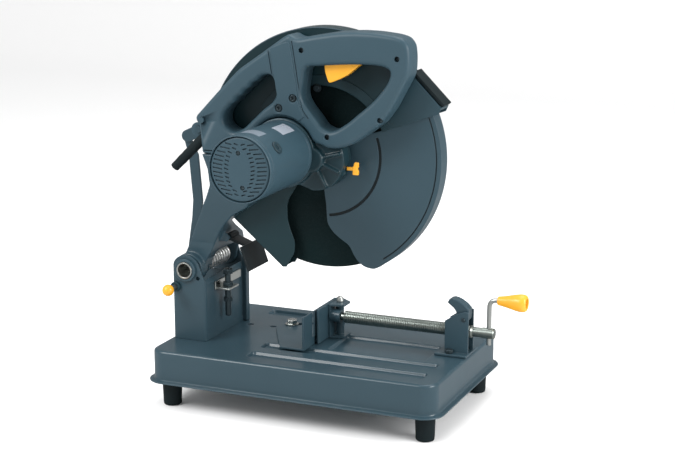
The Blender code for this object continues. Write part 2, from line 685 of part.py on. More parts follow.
ARM = (  # Z, rear X, front X, near Y, far Y
    (398, -167, -74, HEAD_NEAR, HEAD_FAR), (375, -158, -66, HEAD_NEAR, HEAD_FAR),
    (350, -155, -72, HEAD_NEAR, HEAD_FAR), (332, -163, -84, -88, -49.6),
    (317, -171, -98, -84, -49.6), (303, -178, -122, -79, -49.6),
    (289, -186.3, -137, -74, -49.6), (272, -196, -151, -68, -10),
    (250, -207, -164, -61, 40), (236, -214, -171, -60, 58),
    (222, -220, -180, -60, 58), (208, -226, -184, -60, 58),
)
CASE_RIB = [(12, 1.8), (46, 1.8), (46, -1.8), (12, -1.8)]  # (outwards from the spindle, across)
DEFLECTOR_LUG = [(-175, 268), (-150, 264), (-145, 258), (-150, 251), (-175, 252)]  # (X, Z)
NEAR_BUSH_R, FAR_BUSH_R = 15.5, 10.5
COVER_BOSS = [  # (radius, Y)
    (0, -54.0), (34.0, -54.0), (34.0, -48.8), (28.0, -48.8), (28.0, -41.0), (0, -41.0),
]
COVER_BORE = [
    (0, -70.0), (20.3, -70.0), (20.3, -43.6), (12.6, -43.6), (12.6, -38.0), (0, -38.0),
]


def arm_loft():
    mesh = loft([[(rear, near, z), (front, near, z), (front, far, z), (rear, far, z)]
                 for z, rear, front, near, far in ARM])
    bmesh.ops.triangulate(mesh, faces=list(mesh.faces))
    return mesh


def add_arm_bosses(arm):
    add(
        arm,
        rod("Y", PIVOT, 24.5, -72, -50, 32, 1.0),
        rod("Y", PIVOT, 19.0, -55, -31.7, 28, 1.0),
        rod("Y", PIVOT, 22.0, 53.5, 59.4, 32),
        rod("Y", MOTOR, 53.0, HEAD_NEAR, CASE_FAR, 40),
        prism(GEAR_CASE, "XZ", CASE_NEAR, CASE_FAR),
        rod("Y", WHEEL, 19.0, -92.0, CASE_NEAR + 4, 24, 1.5),
    )
    for angle in (-62, -22, 14):
        add(arm, prism(spoke(WHEEL, angle, CASE_RIB), "XZ", -87.5, CASE_NEAR + 3))


def cut_arm(arm):
    # room for the handle: whole on the near side, without its lower front on the far side
    far_handle = [p for p in HANDLE if not (p[0] > -20 and p[1] < 500)]
    cut(arm, prism(grown(HANDLE, 0.4), "XZ", -110, CASE_MID))
    cut(arm, prism(grown(far_handle, 0.4), "XZ", CASE_MID - 1, -40))
    # room for the return spring between the two hubs
    spring_room = [(PIVOT_X - 30.0, 180), (PIVOT_X + 60, 180),
                   (PIVOT_X + 60, 232), (PIVOT_X - 30.0, 232)]
    cut(
        arm,
        prism(spring_room, "XZ", -31.6, 53.0),
        rod("Y", PIVOT, NEAR_BUSH_R + 0.1, -80, -25, 32),
        rod("Y", PIVOT, FAR_BUSH_R + 0.1, 40, 66, 24),
        # gear chamber, then the seats of the rotor and spindle
        rod("Y", WHEEL, 42.0, -68.8, CASE_FAR + 5, 36),
        rod("Y", MOTOR, 12.6, -68.9, CASE_FAR + 6, 20),
        rod("Y", MOTOR, 12.2, -95, -84, 20),
        rod("Y", MOTOR, 5.6, -90, -60, 16),
        rod("Y", WHEEL, 14.2, -90.7, -60, 20),
    )


def make_arm():
    arm = head_part("swing_arm", arm_loft(), SLATE)
    add_arm_bosses(arm)
    cut_arm(arm)
    # socket of the spindle lock button
    add(arm, box(57.6, 62.0, -69.5, -58.5, 378, 398))
    cut(arm, box(54.0, 80.0, -67, -61, 384, 392))
    # lug and peg of the spark deflector
    add(arm, prism(DEFLECTOR_LUG, "XZ", -47.0, -41.5), rod("Y", DEFLECTOR_AT, 2.5, -44.0, -37.0, 12))


def make_bushes():
    near = tube(PIVOT, NEAR_BUSH_R, SHAFT_R + FIT, -71.5, -32.5, 32)
    far = tube(PIVOT, FAR_BUSH_R, SHAFT_FAR_R + FIT, 53.3, 59.2, 24)
    head_part("hub_bush_near", near, BRONZE)
    head_part("hub_bush_far", far, BRONZE)


def make_gear_cover():
    plate = prism(GEAR_CASE, "XZ", CASE_FAR + GAP, -52.5)
    cover = head_part("gear_case_cover", plate, SLATE_DARK)
    add(cover, turned(COVER_BOSS, "Y", WHEEL, 24))
    cut(cover, turned(COVER_BORE, "Y", WHEEL, 20))


make_arm()
make_bushes()
make_gear_cover()

# =============================== gears, spindle and wheel ===============================
GEAR_MODULE = 2 * math.hypot(WHEEL_X - MOTOR_X, WHEEL_Z - MOTOR_Z) / (GEAR_TEETH + PINION_TEETH)
CENTRE_LINE = math.degrees(math.atan2(MOTOR_Z - WHEEL_Z, MOTOR_X - WHEEL_X))
GEAR_R, PINION_R = GEAR_MODULE * GEAR_TEETH / 2, GEAR_MODULE * PINION_TEETH / 2
WHEEL_ORIGIN = (WHEEL_X, WHEEL_Y, WHEEL_Z)
ROTOR_ORIGIN = (MOTOR_X, -150, MOTOR_Z)
# (radius, Y)
SPINDLE = [
    (0, -90.4), (7.85, -90.4), (7.85, -82.0), (9.2, -82.0), (9.2, -58.8), (11.0, -58.8),
    (11.0, -55.9), (9.85, -55.9), (9.85, -43.2), (12.0, -42.8), (12.0, -40.5), (12.6, -40.0),
    (12.6, -27.6), (5.2, -27.6), (5.2, -44.0), (0, -46.0),
]
INNER_FLANGE = [
    (12.8, -38.5), (30.0, -38.5), (30.0, -32.0), (24.0, -32.0), (24.0, -33.2), (12.8, -33.2),
]
OUTER_FLANGE = [
    (5.3, -25.6), (13.2, -25.6), (13.2, -27.0), (24.0, -27.0), (24.0, -28.0), (30.0, -28.0),
    (30.0, -25.5), (26.0, -22.6), (5.3, -22.6),
]
BEARINGS = (  # name, axis, inner radius, outer radius, near Y, far Y
    ("spindle_bearing_rear", WHEEL, 8.0, 14.0, -90.5, -82.3),
    ("spindle_bearing_front", WHEEL, 10.0, 20.0, -55.6, -43.9),
    ("rotor_bearing_front", MOTOR, 5.1, 12.1, -91.8, -84.3),
    ("rotor_bearing_rear", MOTOR, 4.1, 11.0, -224.5, -217.5),
)

wheel_turn = pivot("spindle_turn", WHEEL_ORIGIN, head)
rotor_turn = pivot("rotor_turn", ROTOR_ORIGIN, head)


def wheel_part(name, mesh, mat):
    return ride(part(name, mesh, mat, WHEEL_ORIGIN), wheel_turn)


def rotor_part(name, mesh, mat):
    return ride(part(name, mesh, mat, ROTOR_ORIGIN), rotor_turn)


def gear_outline(centre, count, start, tip_r, root_r, tip_width, root_width):
    """Straight-flanked spur outline."""
    tooth = [(root_r, -root_width / 2), (tip_r, -tip_width / 2),
             (tip_r, tip_width / 2), (root_r, root_width / 2)]
    out = []
    for k in range(count):
        out += spoke(centre, start + 360.0 * k / count, tooth)
    return out


def make_drive_gear():
    outline = gear_outline(
        WHEEL, GEAR_TEETH, CENTRE_LINE, tip_r=GEAR_R + 0.85 * GEAR_MODULE,
        root_r=GEAR_R - 1.15 * GEAR_MODULE, tip_width=1.0, root_width=2.9,
    )
    gear = wheel_part("drive_gear", prism(outline, "XZ", GEAR_NEAR, GEAR_FAR), GEAR_STEEL)
    cut(gear, rod("Y", WHEEL, 9.35, GEAR_NEAR - 3, GEAR_FAR + 3, 24))


def make_spindle():
    wheel_part("spindle", turned(SPINDLE, "Y", WHEEL, 20), STEEL)
    for name, profile in (("inner_flange", INNER_FLANGE), ("outer_flange", OUTER_FLANGE)):
        wheel_part(name, turned(profile, "Y", WHEEL, 24, closed=True), STEEL)
    bolt = wheel_part("arbor_bolt", rod("Y", WHEEL, 4.9, -43.0, -20.0, 16), ZINC)
    add(bolt, rod("Y", WHEEL, 9.4, -22.3, -16.8, 6, 0.8))


def make_wheel():
    near, far = WHEEL_Y - WHEEL_THICK / 2, WHEEL_Y + WHEEL_THICK / 2
    wheel_part("abrasive_wheel", tube(WHEEL, WHEEL_R, ARBOR_R + 0.1, near, far, 60), ABRASIVE)


def make_bearings():
    """Each sealed ball bearing is one plain ring."""
    for name, axis, inner_r, outer_r, near, far in BEARINGS:
        head_part(name, tube(axis, outer_r, inner_r, near, far, 20), STEEL)


make_drive_gear()
make_spindle()
make_wheel()
make_bearings()

# =============================== motor ===============================
BRUSH_ANGLE, BRUSH_Y = 35.0, -194.0
BRUSH_CAP = [  # (radius, distance from the motor axis)
    (0, 43.0), (7.9, 43.0), (7.9, 50.3), (9.6, 50.3), (9.6, 51.6), (0, 51.6),
]
END_CAP = [  # (radius, Y)
    (0, -234.0), (45.5, -234.0), (48.6, -232.6), (50.0, -229.5), (50.0, -226.3),
    (46.6, -226.3), (46.6, -223.0), (44.0, -223.0), (44.0, -229.5), (15.0, -229.5),
    (15.0, -217.8), (11.1, -217.8), (11.1, -228.0), (0, -228.0),
]
VENT_INNER, VENT_OUTER_R, VENT_PITCH = 17.5, 40.0, 20.0
ROTOR_SHAFT = [  # (radius, Y)
    (0, -224.0), (4.0, -224.0), (4.0, -216.5), (5.0, -216.5), (5.0, -84.0), (4.6, -83.6),
    (4.6, -58.0), (0, -58.0),
]
CORE_POLES = 12
CORE_POLE = (  # (degrees from the middle of the pole, radius)
    (-11.5, 29.0), (0, 29.2), (11.5, 29.0), (13.4, 23.0), (16.6, 23.0),
)
FAN_BLADES = 7
FAN_BLADE = [(8, -1), (38, 6), (38, 7.6), (8, 1)]  # (outwards, across)


def radial(mesh):
    """Turns a shape made about the Z axis to point outwards from the motor at the brush angle."""
    mesh.transform(Matrix.Translation((MOTOR_X, BRUSH_Y, MOTOR_Z))
                   @ Matrix.Rotation(math.radians(90 - BRUSH_ANGLE), 4, "Y"))
    return mesh


def make_housing():
    shell = tube(MOTOR, MOTOR_R, MOTOR_R - 3.0, MOTOR_NEAR, MOTOR_FAR, 40)
    housing = head_part("motor_housing", shell, SLATE_MOULD)
    cut(housing, radial(rod("Z", (0, 0), 8.2, 40, 60, 20)))


def make_brush():
    head_part("brush_cap", radial(turned(BRUSH_CAP, "Z", (0, 0), 20)), BLACK_PLASTIC)
    head_part("carbon_brush", radial(box(-3, 3, -5, 5, 15.6, 42.6)), CARBON)


def make_end_cap():
    cap = head_part("motor_end_cap", turned(END_CAP, "Y", MOTOR, 32), SLATE_MOULD)
    for side in (-1, 1):
        for height in (-VENT_PITCH, 0, VENT_PITCH):
            reach = math.sqrt(VENT_OUTER_R ** 2 - height ** 2)
            x0, x1 = sorted((MOTOR_X + side * VENT_INNER, MOTOR_X + side * reach))
            # the middle slots stay shallow
            far, z = (-224 if height else -228.6), MOTOR_Z + height
            cut(cap, box(x0, x1, -236, far, z - 1.5, z + 1.5))


def make_stator():
    stator = head_part("stator", tube(MOTOR, 46.5, 30.0, -182, -126, 32), LAMINATION)
    for side in (1, -1):
        x0, x1 = sorted((MOTOR_X + 20 * side, MOTOR_X + 38 * side))
        cut(stator, box(x0, x1, -190, -120, MOTOR_Z - 9, MOTOR_Z + 9))


def make_rotor():
    shaft = rotor_part("rotor_shaft", turned(ROTOR_SHAFT, "Y", MOTOR, 20), GEAR_STEEL)
    pinion = gear_outline(
        MOTOR, PINION_TEETH, CENTRE_LINE + 180 + 180.0 / PINION_TEETH,
        tip_r=PINION_R + 0.80 * GEAR_MODULE, root_r=PINION_R - 1.1 * GEAR_MODULE,
        tip_width=1.0, root_width=2.1,
    )
    add(shaft, prism(pinion, "XZ", -68.4, -59.0))
    outline = [polar(MOTOR, radius, 360 // CORE_POLES * k + angle)
               for k in range(CORE_POLES) for angle, radius in CORE_POLE]
    core = rotor_part("rotor_core", prism(outline, "XZ", -183, -125), COPPER)
    cut(core, rod("Y", MOTOR, MOTOR_SHAFT_HOLE, -190, -120, 20))
    rotor_part("commutator", tube(MOTOR, 15.0, MOTOR_SHAFT_HOLE, -207, -186, 24), COPPER)


def make_fan():
    fan = rotor_part("motor_fan", rod("Y", MOTOR, 10.0, -118, -100, 16), BLACK_PLASTIC)
    add(fan, rod("Y", MOTOR, 40.0, -104, -102, 32))
    for k in range(FAN_BLADES):
        add(fan, prism(spoke(MOTOR, 360 / FAN_BLADES * k, FAN_BLADE), "XZ", -117, -103))
    cut(fan, rod("Y", MOTOR, MOTOR_SHAFT_HOLE, -130, -90, 20))


make_housing()
make_brush()
make_end_cap()
make_stator()
make_rotor()
make_fan()

# =============================== handles, trigger and cord sleeve ===============================
TRIGGER = [  # (X, Z)
    (33, 533), (31, 552), (60, 560), (92, 556), (92, 547.5), (86, 543.5), (78, 537),
    (70, 530), (56, 523), (39, 516),
]
TRIGGER_ROOM = [(24, 535), (24, 564), (148, 573), (148, 553), (98, 553), (98, 535)]  # (X, Z)
TRIGGER_ORIGIN = (86.0, HEAD_SPLIT, 552.0)
SLEEVE_Y = -72
SLEEVE = ((-168.0, 425.0, 7.8), (-197, 397, 7.6), (-225, 370, 7.2))  # (X, Z, radius)
SLEEVE_HOLE = ((-166.5, 426.5, 7.8), (-197, 397, 7.8))


def sleeve(grow, stations):
    """A round sleeve sloping down to the rear."""
    angles = [2 * math.pi * k / 14 for k in range(14)]
    return loft([
        [(x - 0.72 * (radius + grow) * math.cos(a),
          SLEEVE_Y + (radius + grow) * math.sin(a),
          z + 0.70 * (radius + grow) * math.cos(a)) for a in angles]
        for x, z, radius in stations
    ])


def make_handle(name, near, far, edge):
    """One shell half; edge tells which face is rounded."""
    shell = head_part(name, prism(HANDLE, "XZ", near, far, 5.0, edge, 2), SLATE_MOULD)
    for hole in (D_HOLE, CARRY_HOLE):
        cut(shell, prism(smooth_closed(hole), "XZ", near - 5, far + 5))
    return cut(shell, prism(TRIGGER_ROOM, "XZ", -79.0, -63.0))


def make_handles():
    split_near, split_far = HEAD_SPLIT - 0.15, HEAD_SPLIT + 0.15
    near_half = make_handle("handle_near_half", HEAD_NEAR, split_near, "lo")
    far_half = make_handle("handle_far_half", split_far, HEAD_FAR, "hi")
    cut(far_half, prism(grown(GEAR_CASE, 0.5), "XZ", HEAD_SPLIT - 1, HEAD_FAR + 5))
    # ear that carries the guard lever
    ear = arc((-160, 430), 13, -90, 90, 6) + arc(LEVER_AT, 11, 90, 270, 8)
    add(far_half, prism(ear, "XZ", split_far, HEAD_FAR - 1))
    cut(far_half, rod("Y", LEVER_AT, 6.2, HEAD_SPLIT - 5, HEAD_FAR + 5, 16))
    for half in (near_half, far_half):
        cut(half, sleeve(0.5, SLEEVE_HOLE))


def make_trigger():
    hinge = pivot("trigger_hinge", TRIGGER_ORIGIN, head)
    mesh = prism(TRIGGER, "XZ", -78.0, -64.0, 1.0)
    ride(part("trigger", mesh, YELLOW, TRIGGER_ORIGIN), hinge)


make_handles()
make_trigger()
head_part("switch_block", box(102, 144, -78, -64, 555, 568, 1.0), BLACK_PLASTIC)
head_part("cord_sleeve", sleeve(0.0, SLEEVE), RUBBER)

# =============================== guards ===============================
RIM_R = GUARD_R + 3.5  # fixed guard
# all (X, Z)
CHUTE_LIP = [(201, 476), (205, 485), (157, 533)]
REAR_CHORD = [(-158.5, 310.5), (-126, 283), (-52.5, 220.8)]
FLAP_EDGE = [(-46, 221.5), (-38, 236), (-33, 245), (-32, 262), (-38, 279), (-43, 296), (-44, 319)]
FRONT_EDGE = [
    (17, 348), (18.5, 336), (20, 325), (21, 309), (23, 296), (32, 283), (45, 273), (58, 264),
    (66, 250), (74, 240), (84, 233.5), (98, 231.5), (109, 236),
]
CHUTE_SEAL = [(158.4, 534.0), (206.2, 486.2), (209.6, 489.6), (161.8, 537.4)]


def at_wheel(*places):
    """Points from (radius, degrees) about the wheel."""
    return [polar(WHEEL, radius, angle) for radius, angle in places]


def make_fixed_guard():
    outer = CHUTE_LIP + arc(WHEEL, RIM_R, 48, 207, 26) + REAR_CHORD + FLAP_EDGE
    outer += at_wheel((90, 232), (40, 225), (38, 200), (36, 120), (38, 60), (52, 26))
    guard = head_part("guard_fixed", prism(outer, "XZ", -48.0, -14.5), SLATE_DARK)
    # hollow between the side plates, inside the rim band
    inner = [(WHEEL_X + 40, WHEEL_Z - 6), (207, 469), (202.6, 484.6), (155.6, 530.9)]
    inner += arc(WHEEL, RIM_R - GUARD_SHEET, 48, 207, 26)
    inner += [(-157.0, 311.4), (-125.0, 284.4), (-52.0, 222.6), (-30, 205), (-20, 300),
              (WHEEL_X, WHEEL_Z - 60)]
    cut(guard, prism(inner, "XZ", -46.5, -16.0))
    # opening in the near side plate
    window = arc(WHEEL, 106, 150, -10, 18)
    window += [(WHEEL_X + 60, WHEEL_Z - 40), (WHEEL_X - 20, WHEEL_Z - 48)]
    window += arc(WHEEL, 50, 250, 150, 8)
    cut(guard, prism(window, "XZ", -52, -40), rod("Y", WHEEL, 30.0, -20, -10, 32))


def make_moving_guard():
    swing = pivot("guard_swing", WHEEL_ORIGIN, head)
    end_x, end_z = FRONT_EDGE[-1]
    start = math.degrees(math.atan2(end_z - WHEEL_Z, end_x - WHEEL_X)) + 0.8
    outer = smooth_open(FRONT_EDGE) + arc(WHEEL, GUARD_R, start, 50, 24)
    outer += at_wheel((150, 48), (106, 24), (60, 30)) + arc(WHEEL, 48, 40, 262, 12)
    guard = part("guard_moving", prism(outer, "XZ", -44.5, -18.0), SLATE, WHEEL_ORIGIN)
    ride(guard, swing)
    # hollow inside the rim, open along the other edges
    pocket = at_wheel((300, start - 14))
    pocket += arc(WHEEL, GUARD_R - GUARD_SHEET, start - 12, 60, 26) + at_wheel((300, 62))
    pocket += [(WHEEL_X - 300, WHEEL_Z + 150), (WHEEL_X - 300, WHEEL_Z - 300),
               (WHEEL_X, WHEEL_Z - 300)]
    curved_groove = arc(WHEEL, 95.0, -84, 6, 16) + arc(WHEEL, 91.0, 6, -84, 16)
    cut(
        guard,
        prism(pocket, "XZ", -43.0, -19.5),
        rod("Y", WHEEL, 28.2, -50, -40, 40),
        rod("Y", WHEEL, 36.0, -22, -10, 32),
        prism(curved_groove, "XZ", -46, -44.0),
    )


make_fixed_guard()
make_moving_guard()
head_part("chute_seal", prism(CHUTE_SEAL, "XZ", -47.0, -15.5, 0.5), RUBBER)

# =============================== guard linkage ===============================
# a lever on the head and a bar up from the column, joined at the boss; (X, Z)
LINK_PATH = [LINK_AT, (-229.0, 272.0), (-226.5, 302.0), (-232.5, 375.0), BOSS_AT]
LINK_HALF = 8.5


def make_guard_lever():
    origin = (LEVER_AT[0], -8, LEVER_AT[1])
    hinge = pivot("guard_lever_hinge", origin, head)
    mesh = prism(bar(LEVER_AT, BOSS_AT, 11, 9.5), "XZ", -3.5, 1.5, 0.6)
    lever = part("guard_lever", mesh, SLATE, origin)
    add(lever, rod("Y", LEVER_AT, 6.0, -72.0, -1.0, 16), rod("Y", BOSS_AT, 4.0, 0.0, 9.0, 16))
    ride(lever, hinge)


def make_guard_link():
    origin = (LINK_AT[0], 0, LINK_AT[1])
    hinge = pivot("guard_link_hinge", origin)
    rear, front = [], []
    for points in zip(LINK_PATH, LINK_PATH[1:], LINK_PATH[2:]):
        before, here, after = (Vector(p) for p in points)
        along = ((here - before).normalized() + (after - here).normalized()).normalized()
        rear.append((here.x - along.y * LINK_HALF, here.y + along.x * LINK_HALF))
        front.append((here.x + along.y * LINK_HALF, here.y - along.x * LINK_HALF))
    outline = arc(LINK_AT, 9, 180, 360, 8) + front + arc(BOSS_AT, 10, -60, 200, 10) + rear[::-1]
    link = part("guard_link", prism(outline, "XZ", 3.0, 7.5, 0.6), SLATE, origin)
    cut(link, rod("Y", BOSS_AT, 5.6, 0, 10, 20))
    add(link, rod("Y", LINK_AT, 5.0, 5.0, 66.0, 16))
    ride(link, hinge)


make_guard_lever()
make_guard_link()

# =============================== deflector and spindle lock ===============================
# (X, Z)
DEFLECTOR_PLATE = [(-120.5, 248), (-107, 210), (-104.2, 211), (-117.7, 249)]
DEFLECTOR_ARM = [(-149.2, 253), (-118.5, 243), (-116.8, 246.5), (-147, 257.5)]


def make_deflector():
    origin = (DEFLECTOR_AT[0], -26, DEFLECTOR_AT[1])
    hinge = pivot("deflector_hinge", origin, head)
    plate = prism(DEFLECTOR_PLATE, "XZ", -61, 10, 0.4)
    deflector = part("spark_deflector", plate, BLACK_PAINT, origin)
    add(deflector, prism(DEFLECTOR_ARM, "XZ", -40, -14), rod("Y", DEFLECTOR_AT, 6.0, -40, -14, 16))
    cut(deflector, rod("Y", DEFLECTOR_AT, 2.9, -44, -36, 12))
    ride(deflector, hinge)


def make_lock_button():
    origin = (76, -64, 388)
    slide = pivot("spindle_lock_slide", origin, head)
    cap = box(69, 82, -67.2, -60.8, 376, 400, 1.2)
    button = part("spindle_lock_button", cap, YELLOW, origin)
    add(button, box(63, 70, -66.4, -61.6, 385, 391))
    ride(button, slide)


make_deflector()
make_lock_button()

# =============================== part origin ===============================
# the origin moves to the middle of the front near foot's underside
for root in [o for o in bpy.data.objects if o.parent is None]:
    root.location.x -= FOOT_X * TO_METRES
    root.location.y += FOOT_Y * TO_METRES
bpy.context.view_layer.update()
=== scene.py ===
"""Abrasive chop saw: the finished look, built on the CAD frame.

Sizes are in millimetres, scaled by MM, and measured from the middle of the base with the floor at
z = 0. +X is the front, where the vise crank is; -Y is the near side, +Y the far side, +Z is up.
The part's own origin is the front near foot, so HOME moves every shape there.
"""
import math

import bmesh
import bpy
from mathutils import Matrix, Vector


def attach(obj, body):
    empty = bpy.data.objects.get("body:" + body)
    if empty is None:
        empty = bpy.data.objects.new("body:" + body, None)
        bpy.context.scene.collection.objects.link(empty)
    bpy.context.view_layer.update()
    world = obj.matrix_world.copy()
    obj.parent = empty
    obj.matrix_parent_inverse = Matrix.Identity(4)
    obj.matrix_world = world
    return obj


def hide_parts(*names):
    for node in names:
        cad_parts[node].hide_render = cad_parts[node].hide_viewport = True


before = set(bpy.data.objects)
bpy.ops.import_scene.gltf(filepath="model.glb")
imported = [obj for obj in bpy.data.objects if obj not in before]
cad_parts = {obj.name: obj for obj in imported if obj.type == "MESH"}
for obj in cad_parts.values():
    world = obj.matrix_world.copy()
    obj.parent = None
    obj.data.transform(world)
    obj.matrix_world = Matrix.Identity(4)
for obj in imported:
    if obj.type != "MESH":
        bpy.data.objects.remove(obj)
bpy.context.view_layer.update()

MM = 0.001

# ---- driving dimensions (mm) ----
BASE_L, BASE_W, BASE_TOP = 472.0, 304.0, 94.0
BASE_RIM_Z, BASE_LIP, BASE_R, SHEET = 43.0, 8.0, 25.0, 2.0
FOOT_X, FOOT_Y, FOOT_R_TOP, FOOT_R_BOTTOM = 212.0, 121.0, 16.0, 14.2
SHAFT_R, SHAFT_BORE = 13.4, 11.0
WHEEL_X, WHEEL_Y, WHEEL_Z = 15.0, -30.0, 402.0
WHEEL_R, WHEEL_T = 177.5, 3.2
GUARD_R, GUARD_T = 190.0, 1.5
MOTOR_X, MOTOR_Z = -32.0, 409.0
HEAD_Y0, HEAD_Y1, HEAD_SPLIT = -92.0, -50.0, -71.0
JAW_X = -5.0
SCREW_Y, SCREW_Z, SCREW_R = 20.0, 130.5, 9.8
GRIP_Z = 184.0
CORD_Y = -72
GAP = 0.3
# axes that run along Y, as (x, z), and the vise screw's along X, as (y, z)
PIVOT = (-206.0, 208.0)
WHEEL = (WHEEL_X, WHEEL_Z)
MOTOR = (MOTOR_X, MOTOR_Z)
LEVER = (-184.0, 432.0)
LOCK_PIN = (-223, 180)
SCREW = (SCREW_Y, SCREW_Z)
HOME = Matrix.Translation((-FOOT_X, FOOT_Y, 0))


# ---- shape helpers: each solid is a bmesh in millimetres ----
def angles(count):
    return [2 * math.pi * k / count for k in range(count)]


def ring_of(shape, points):
    return [shape.verts.new(p) for p in points]


def bridge(shape, first, second):
    for i in range(len(first)):
        j = (i + 1) % len(first)
        shape.faces.new((first[i], first[j], second[j], second[i]))


def face_outwards(shape):
    bmesh.ops.recalc_face_normals(shape, faces=shape.faces)
    return shape


def loft(rings):
    """Rings of equal point count joined in order, with both ends closed."""
    shape = bmesh.new()
    made = [ring_of(shape, ring) for ring in rings]
    shape.faces.new(made[0])
    shape.faces.new(made[-1])
    for first, second in zip(made, made[1:]):
        bridge(shape, first, second)
    return face_outwards(shape)


def prism(points, plane, low, high):
    """A flat outline in plane XZ or XY, drawn out from low to high along the third axis."""
    place = {
        "XZ": lambda p, along: (p[0], along, p[1]),
        "XY": lambda p, along: (p[0], p[1], along),
    }[plane]
    return loft([[place(p, along) for p in points] for along in (low, high)])


def box(x0, x1, y0, y1, z0, z1):
    return prism([(x0, y0), (x1, y0), (x1, y1), (x0, y1)], "XY", z0, z1)


def turned(profile, axis, centre, sides, closed=False):
    """A profile of (radius, position along the axis) spun about an axis through centre."""
    shape = bmesh.new()
    rings = []
    for radius, along in profile:
        ring = []
        for angle in angles(sides)[:1 if radius < 1e-6 else sides]:
            u = centre[0] + radius * math.cos(angle)
            v = centre[1] + radius * math.sin(angle)
            point = {"X": (along, u, v), "Y": (u, along, v), "Z": (u, v, along)}[axis]
            ring.append(shape.verts.new(point))
        rings.append(ring)
    pairs = list(zip(rings, rings[1:]))
    if closed:
        pairs.append((rings[-1], rings[0]))
    for p, q in pairs:
        for i in range(sides):
            j = (i + 1) % sides
            face = [p[i % len(p)], p[j % len(p)], q[j % len(q)], q[i % len(q)]]
            # a ring of one point is met twice, which leaves a triangle
            face = [v for k, v in enumerate(face) if v not in face[:k]]
            if len(face) > 2:
                shape.faces.new(face)
    return face_outwards(shape)


def rod(axis, centre, radius, low, high, sides, chamfer=0.0):
    profile = [(0, low), (radius, low), (radius, high), (0, high)]
    if chamfer:
        profile[1:3] = [(radius - chamfer, low), (radius, low + chamfer),
                        (radius, high - chamfer), (radius - chamfer, high)]
    return turned(profile, axis, centre, sides)


def swept(path, radius, sides):
    """A round wire along a path, with flat ends."""
    path = [Vector(p) for p in path]
    side = None
    rings = []
    for i, p in enumerate(path):
        tangent = (path[min(i + 1, len(path) - 1)] - path[max(i - 1, 0)]).normalized()
        if side is None:
            side = tangent.orthogonal().normalized()
        side = (side - tangent * side.dot(tangent)).normalized()
        other = tangent.cross(side)
        rings.append([p + (side * math.cos(a) + other * math.sin(a)) * radius
                      for a in angles(sides)])
    return loft(rings)


def slab(outline, holes, low, high, rim, steps):
    """A flat shape with holes in the XZ plane, low to high along Y, its rims rounded by rim."""
    curve = bpy.data.curves.new("slab", "CURVE")
    curve.dimensions, curve.fill_mode = "2D", "BOTH"
    curve.extrude = (high - low) / 2 - rim
    curve.bevel_depth, curve.bevel_resolution, curve.offset = rim, steps, -rim
    for points in [outline] + holes:
        spline = curve.splines.new("POLY")
        spline.points.add(len(points) - 1)
        for point, (x, z) in zip(spline.points, points):
            point.co = (x, z, 0, 1)
        spline.use_cyclic_u = True
    obj = bpy.data.objects.new("slab", curve)
    bpy.context.scene.collection.objects.link(obj)
    bpy.context.view_layer.update()
    mesh = bpy.data.meshes.new_from_object(
        obj.evaluated_get(bpy.context.evaluated_depsgraph_get()))
    shape = bmesh.new()
    shape.from_mesh(mesh)
    bpy.data.objects.remove(obj)
    upright = Matrix.Rotation(math.radians(90), 4, "X")
    shape.transform(Matrix.Translation((0, (low + high) / 2, 0)) @ upright)
    bmesh.ops.remove_doubles(shape, verts=shape.verts, dist=0.002)
    return face_outwards(shape)


def half_of(shape, y, keep_low):
    """The part of a shape on one side of a plane across Y, closed where it was cut."""
    out = bmesh.ops.bisect_plane(
        shape, geom=shape.verts[:] + shape.edges[:] + shape.faces[:], plane_co=(0, y, 0),
        plane_no=(0, 1, 0), clear_outer=keep_low, clear_inner=not keep_low)
    edges = [e for e in out["geom_cut"] if isinstance(e, bmesh.types.BMEdge)]
    bmesh.ops.triangle_fill(shape, use_beauty=True, use_dissolve=False, edges=edges)
    return face_outwards(shape)


def joined(parts):
    """Separate shapes gathered into one, without a boolean."""
    out = bmesh.new()
    for part in parts:
        mesh = bpy.data.meshes.new("t")
        part.to_mesh(mesh)
        part.free()
        out.from_mesh(mesh)
    return out


# ---- outline helpers: lists of flat points ----
def arc(centre, radius, start, end, steps):
    out = []
    for k in range(steps + 1):
        angle = math.radians(start + (end - start) * k / steps)
        out.append((centre[0] + radius * math.cos(angle), centre[1] + radius * math.sin(angle)))
    return out


def sector(centre, outer, inner, start, end, steps):
    """The outline of a part of a ring."""
    return arc(centre, outer, start, end, steps) + arc(centre, inner, end, start, steps)


def rounded(x0, x1, y0, y1, radius, steps):
    """The outline of a rectangle with round corners."""
    left, right, low, high = x0 + radius, x1 - radius, y0 + radius, y1 - radius
    corners = (((right, low), -90), ((right, high), 0), ((left, high), 90), ((left, low), 180))
    out = []
    for centre, start in corners:
        out += arc(centre, radius, start, start + 90, steps)
    return out


def at_height(outline, z):
    return [(x, y, z) for x, y in outline]


def grown(points, distance):
    """A closed outline moved outwards along its corner normals."""
    count = len(points)
    area = sum(points[i][0] * points[(i + 1) % count][1] - points[(i + 1) % count][0] * points[i][1]
               for i in range(count))
    sign = 1.0 if area > 0 else -1.0
    out = []
    for i in range(count):
        before, here, after = (Vector(points[(i + k - 1) % count]) for k in range(3))
        first, second = (Vector((v.y, -v.x)).normalized() * sign
                         for v in (here - before, after - here))
        normal = first + second
        normal = normal / max(normal.length_squared / 2, 0.5)
        out.append((here.x + normal.x * distance, here.y + normal.y * distance))
    return out


def curve_span(p0, p1, p2, p3, steps):
    """Points on a Catmull-Rom curve from p1 up to, but not at, p2."""
    out = []
    for k in range(steps):
        t = k / steps
        q = 0.5 * ((2 * p1) + (p2 - p0) * t + (2 * p0 - 5 * p1 + 4 * p2 - p3) * t * t
                   + (3 * p1 - p0 - 3 * p2 + p3) * t ** 3)
        out.append((q[0], q[1]))
    return out


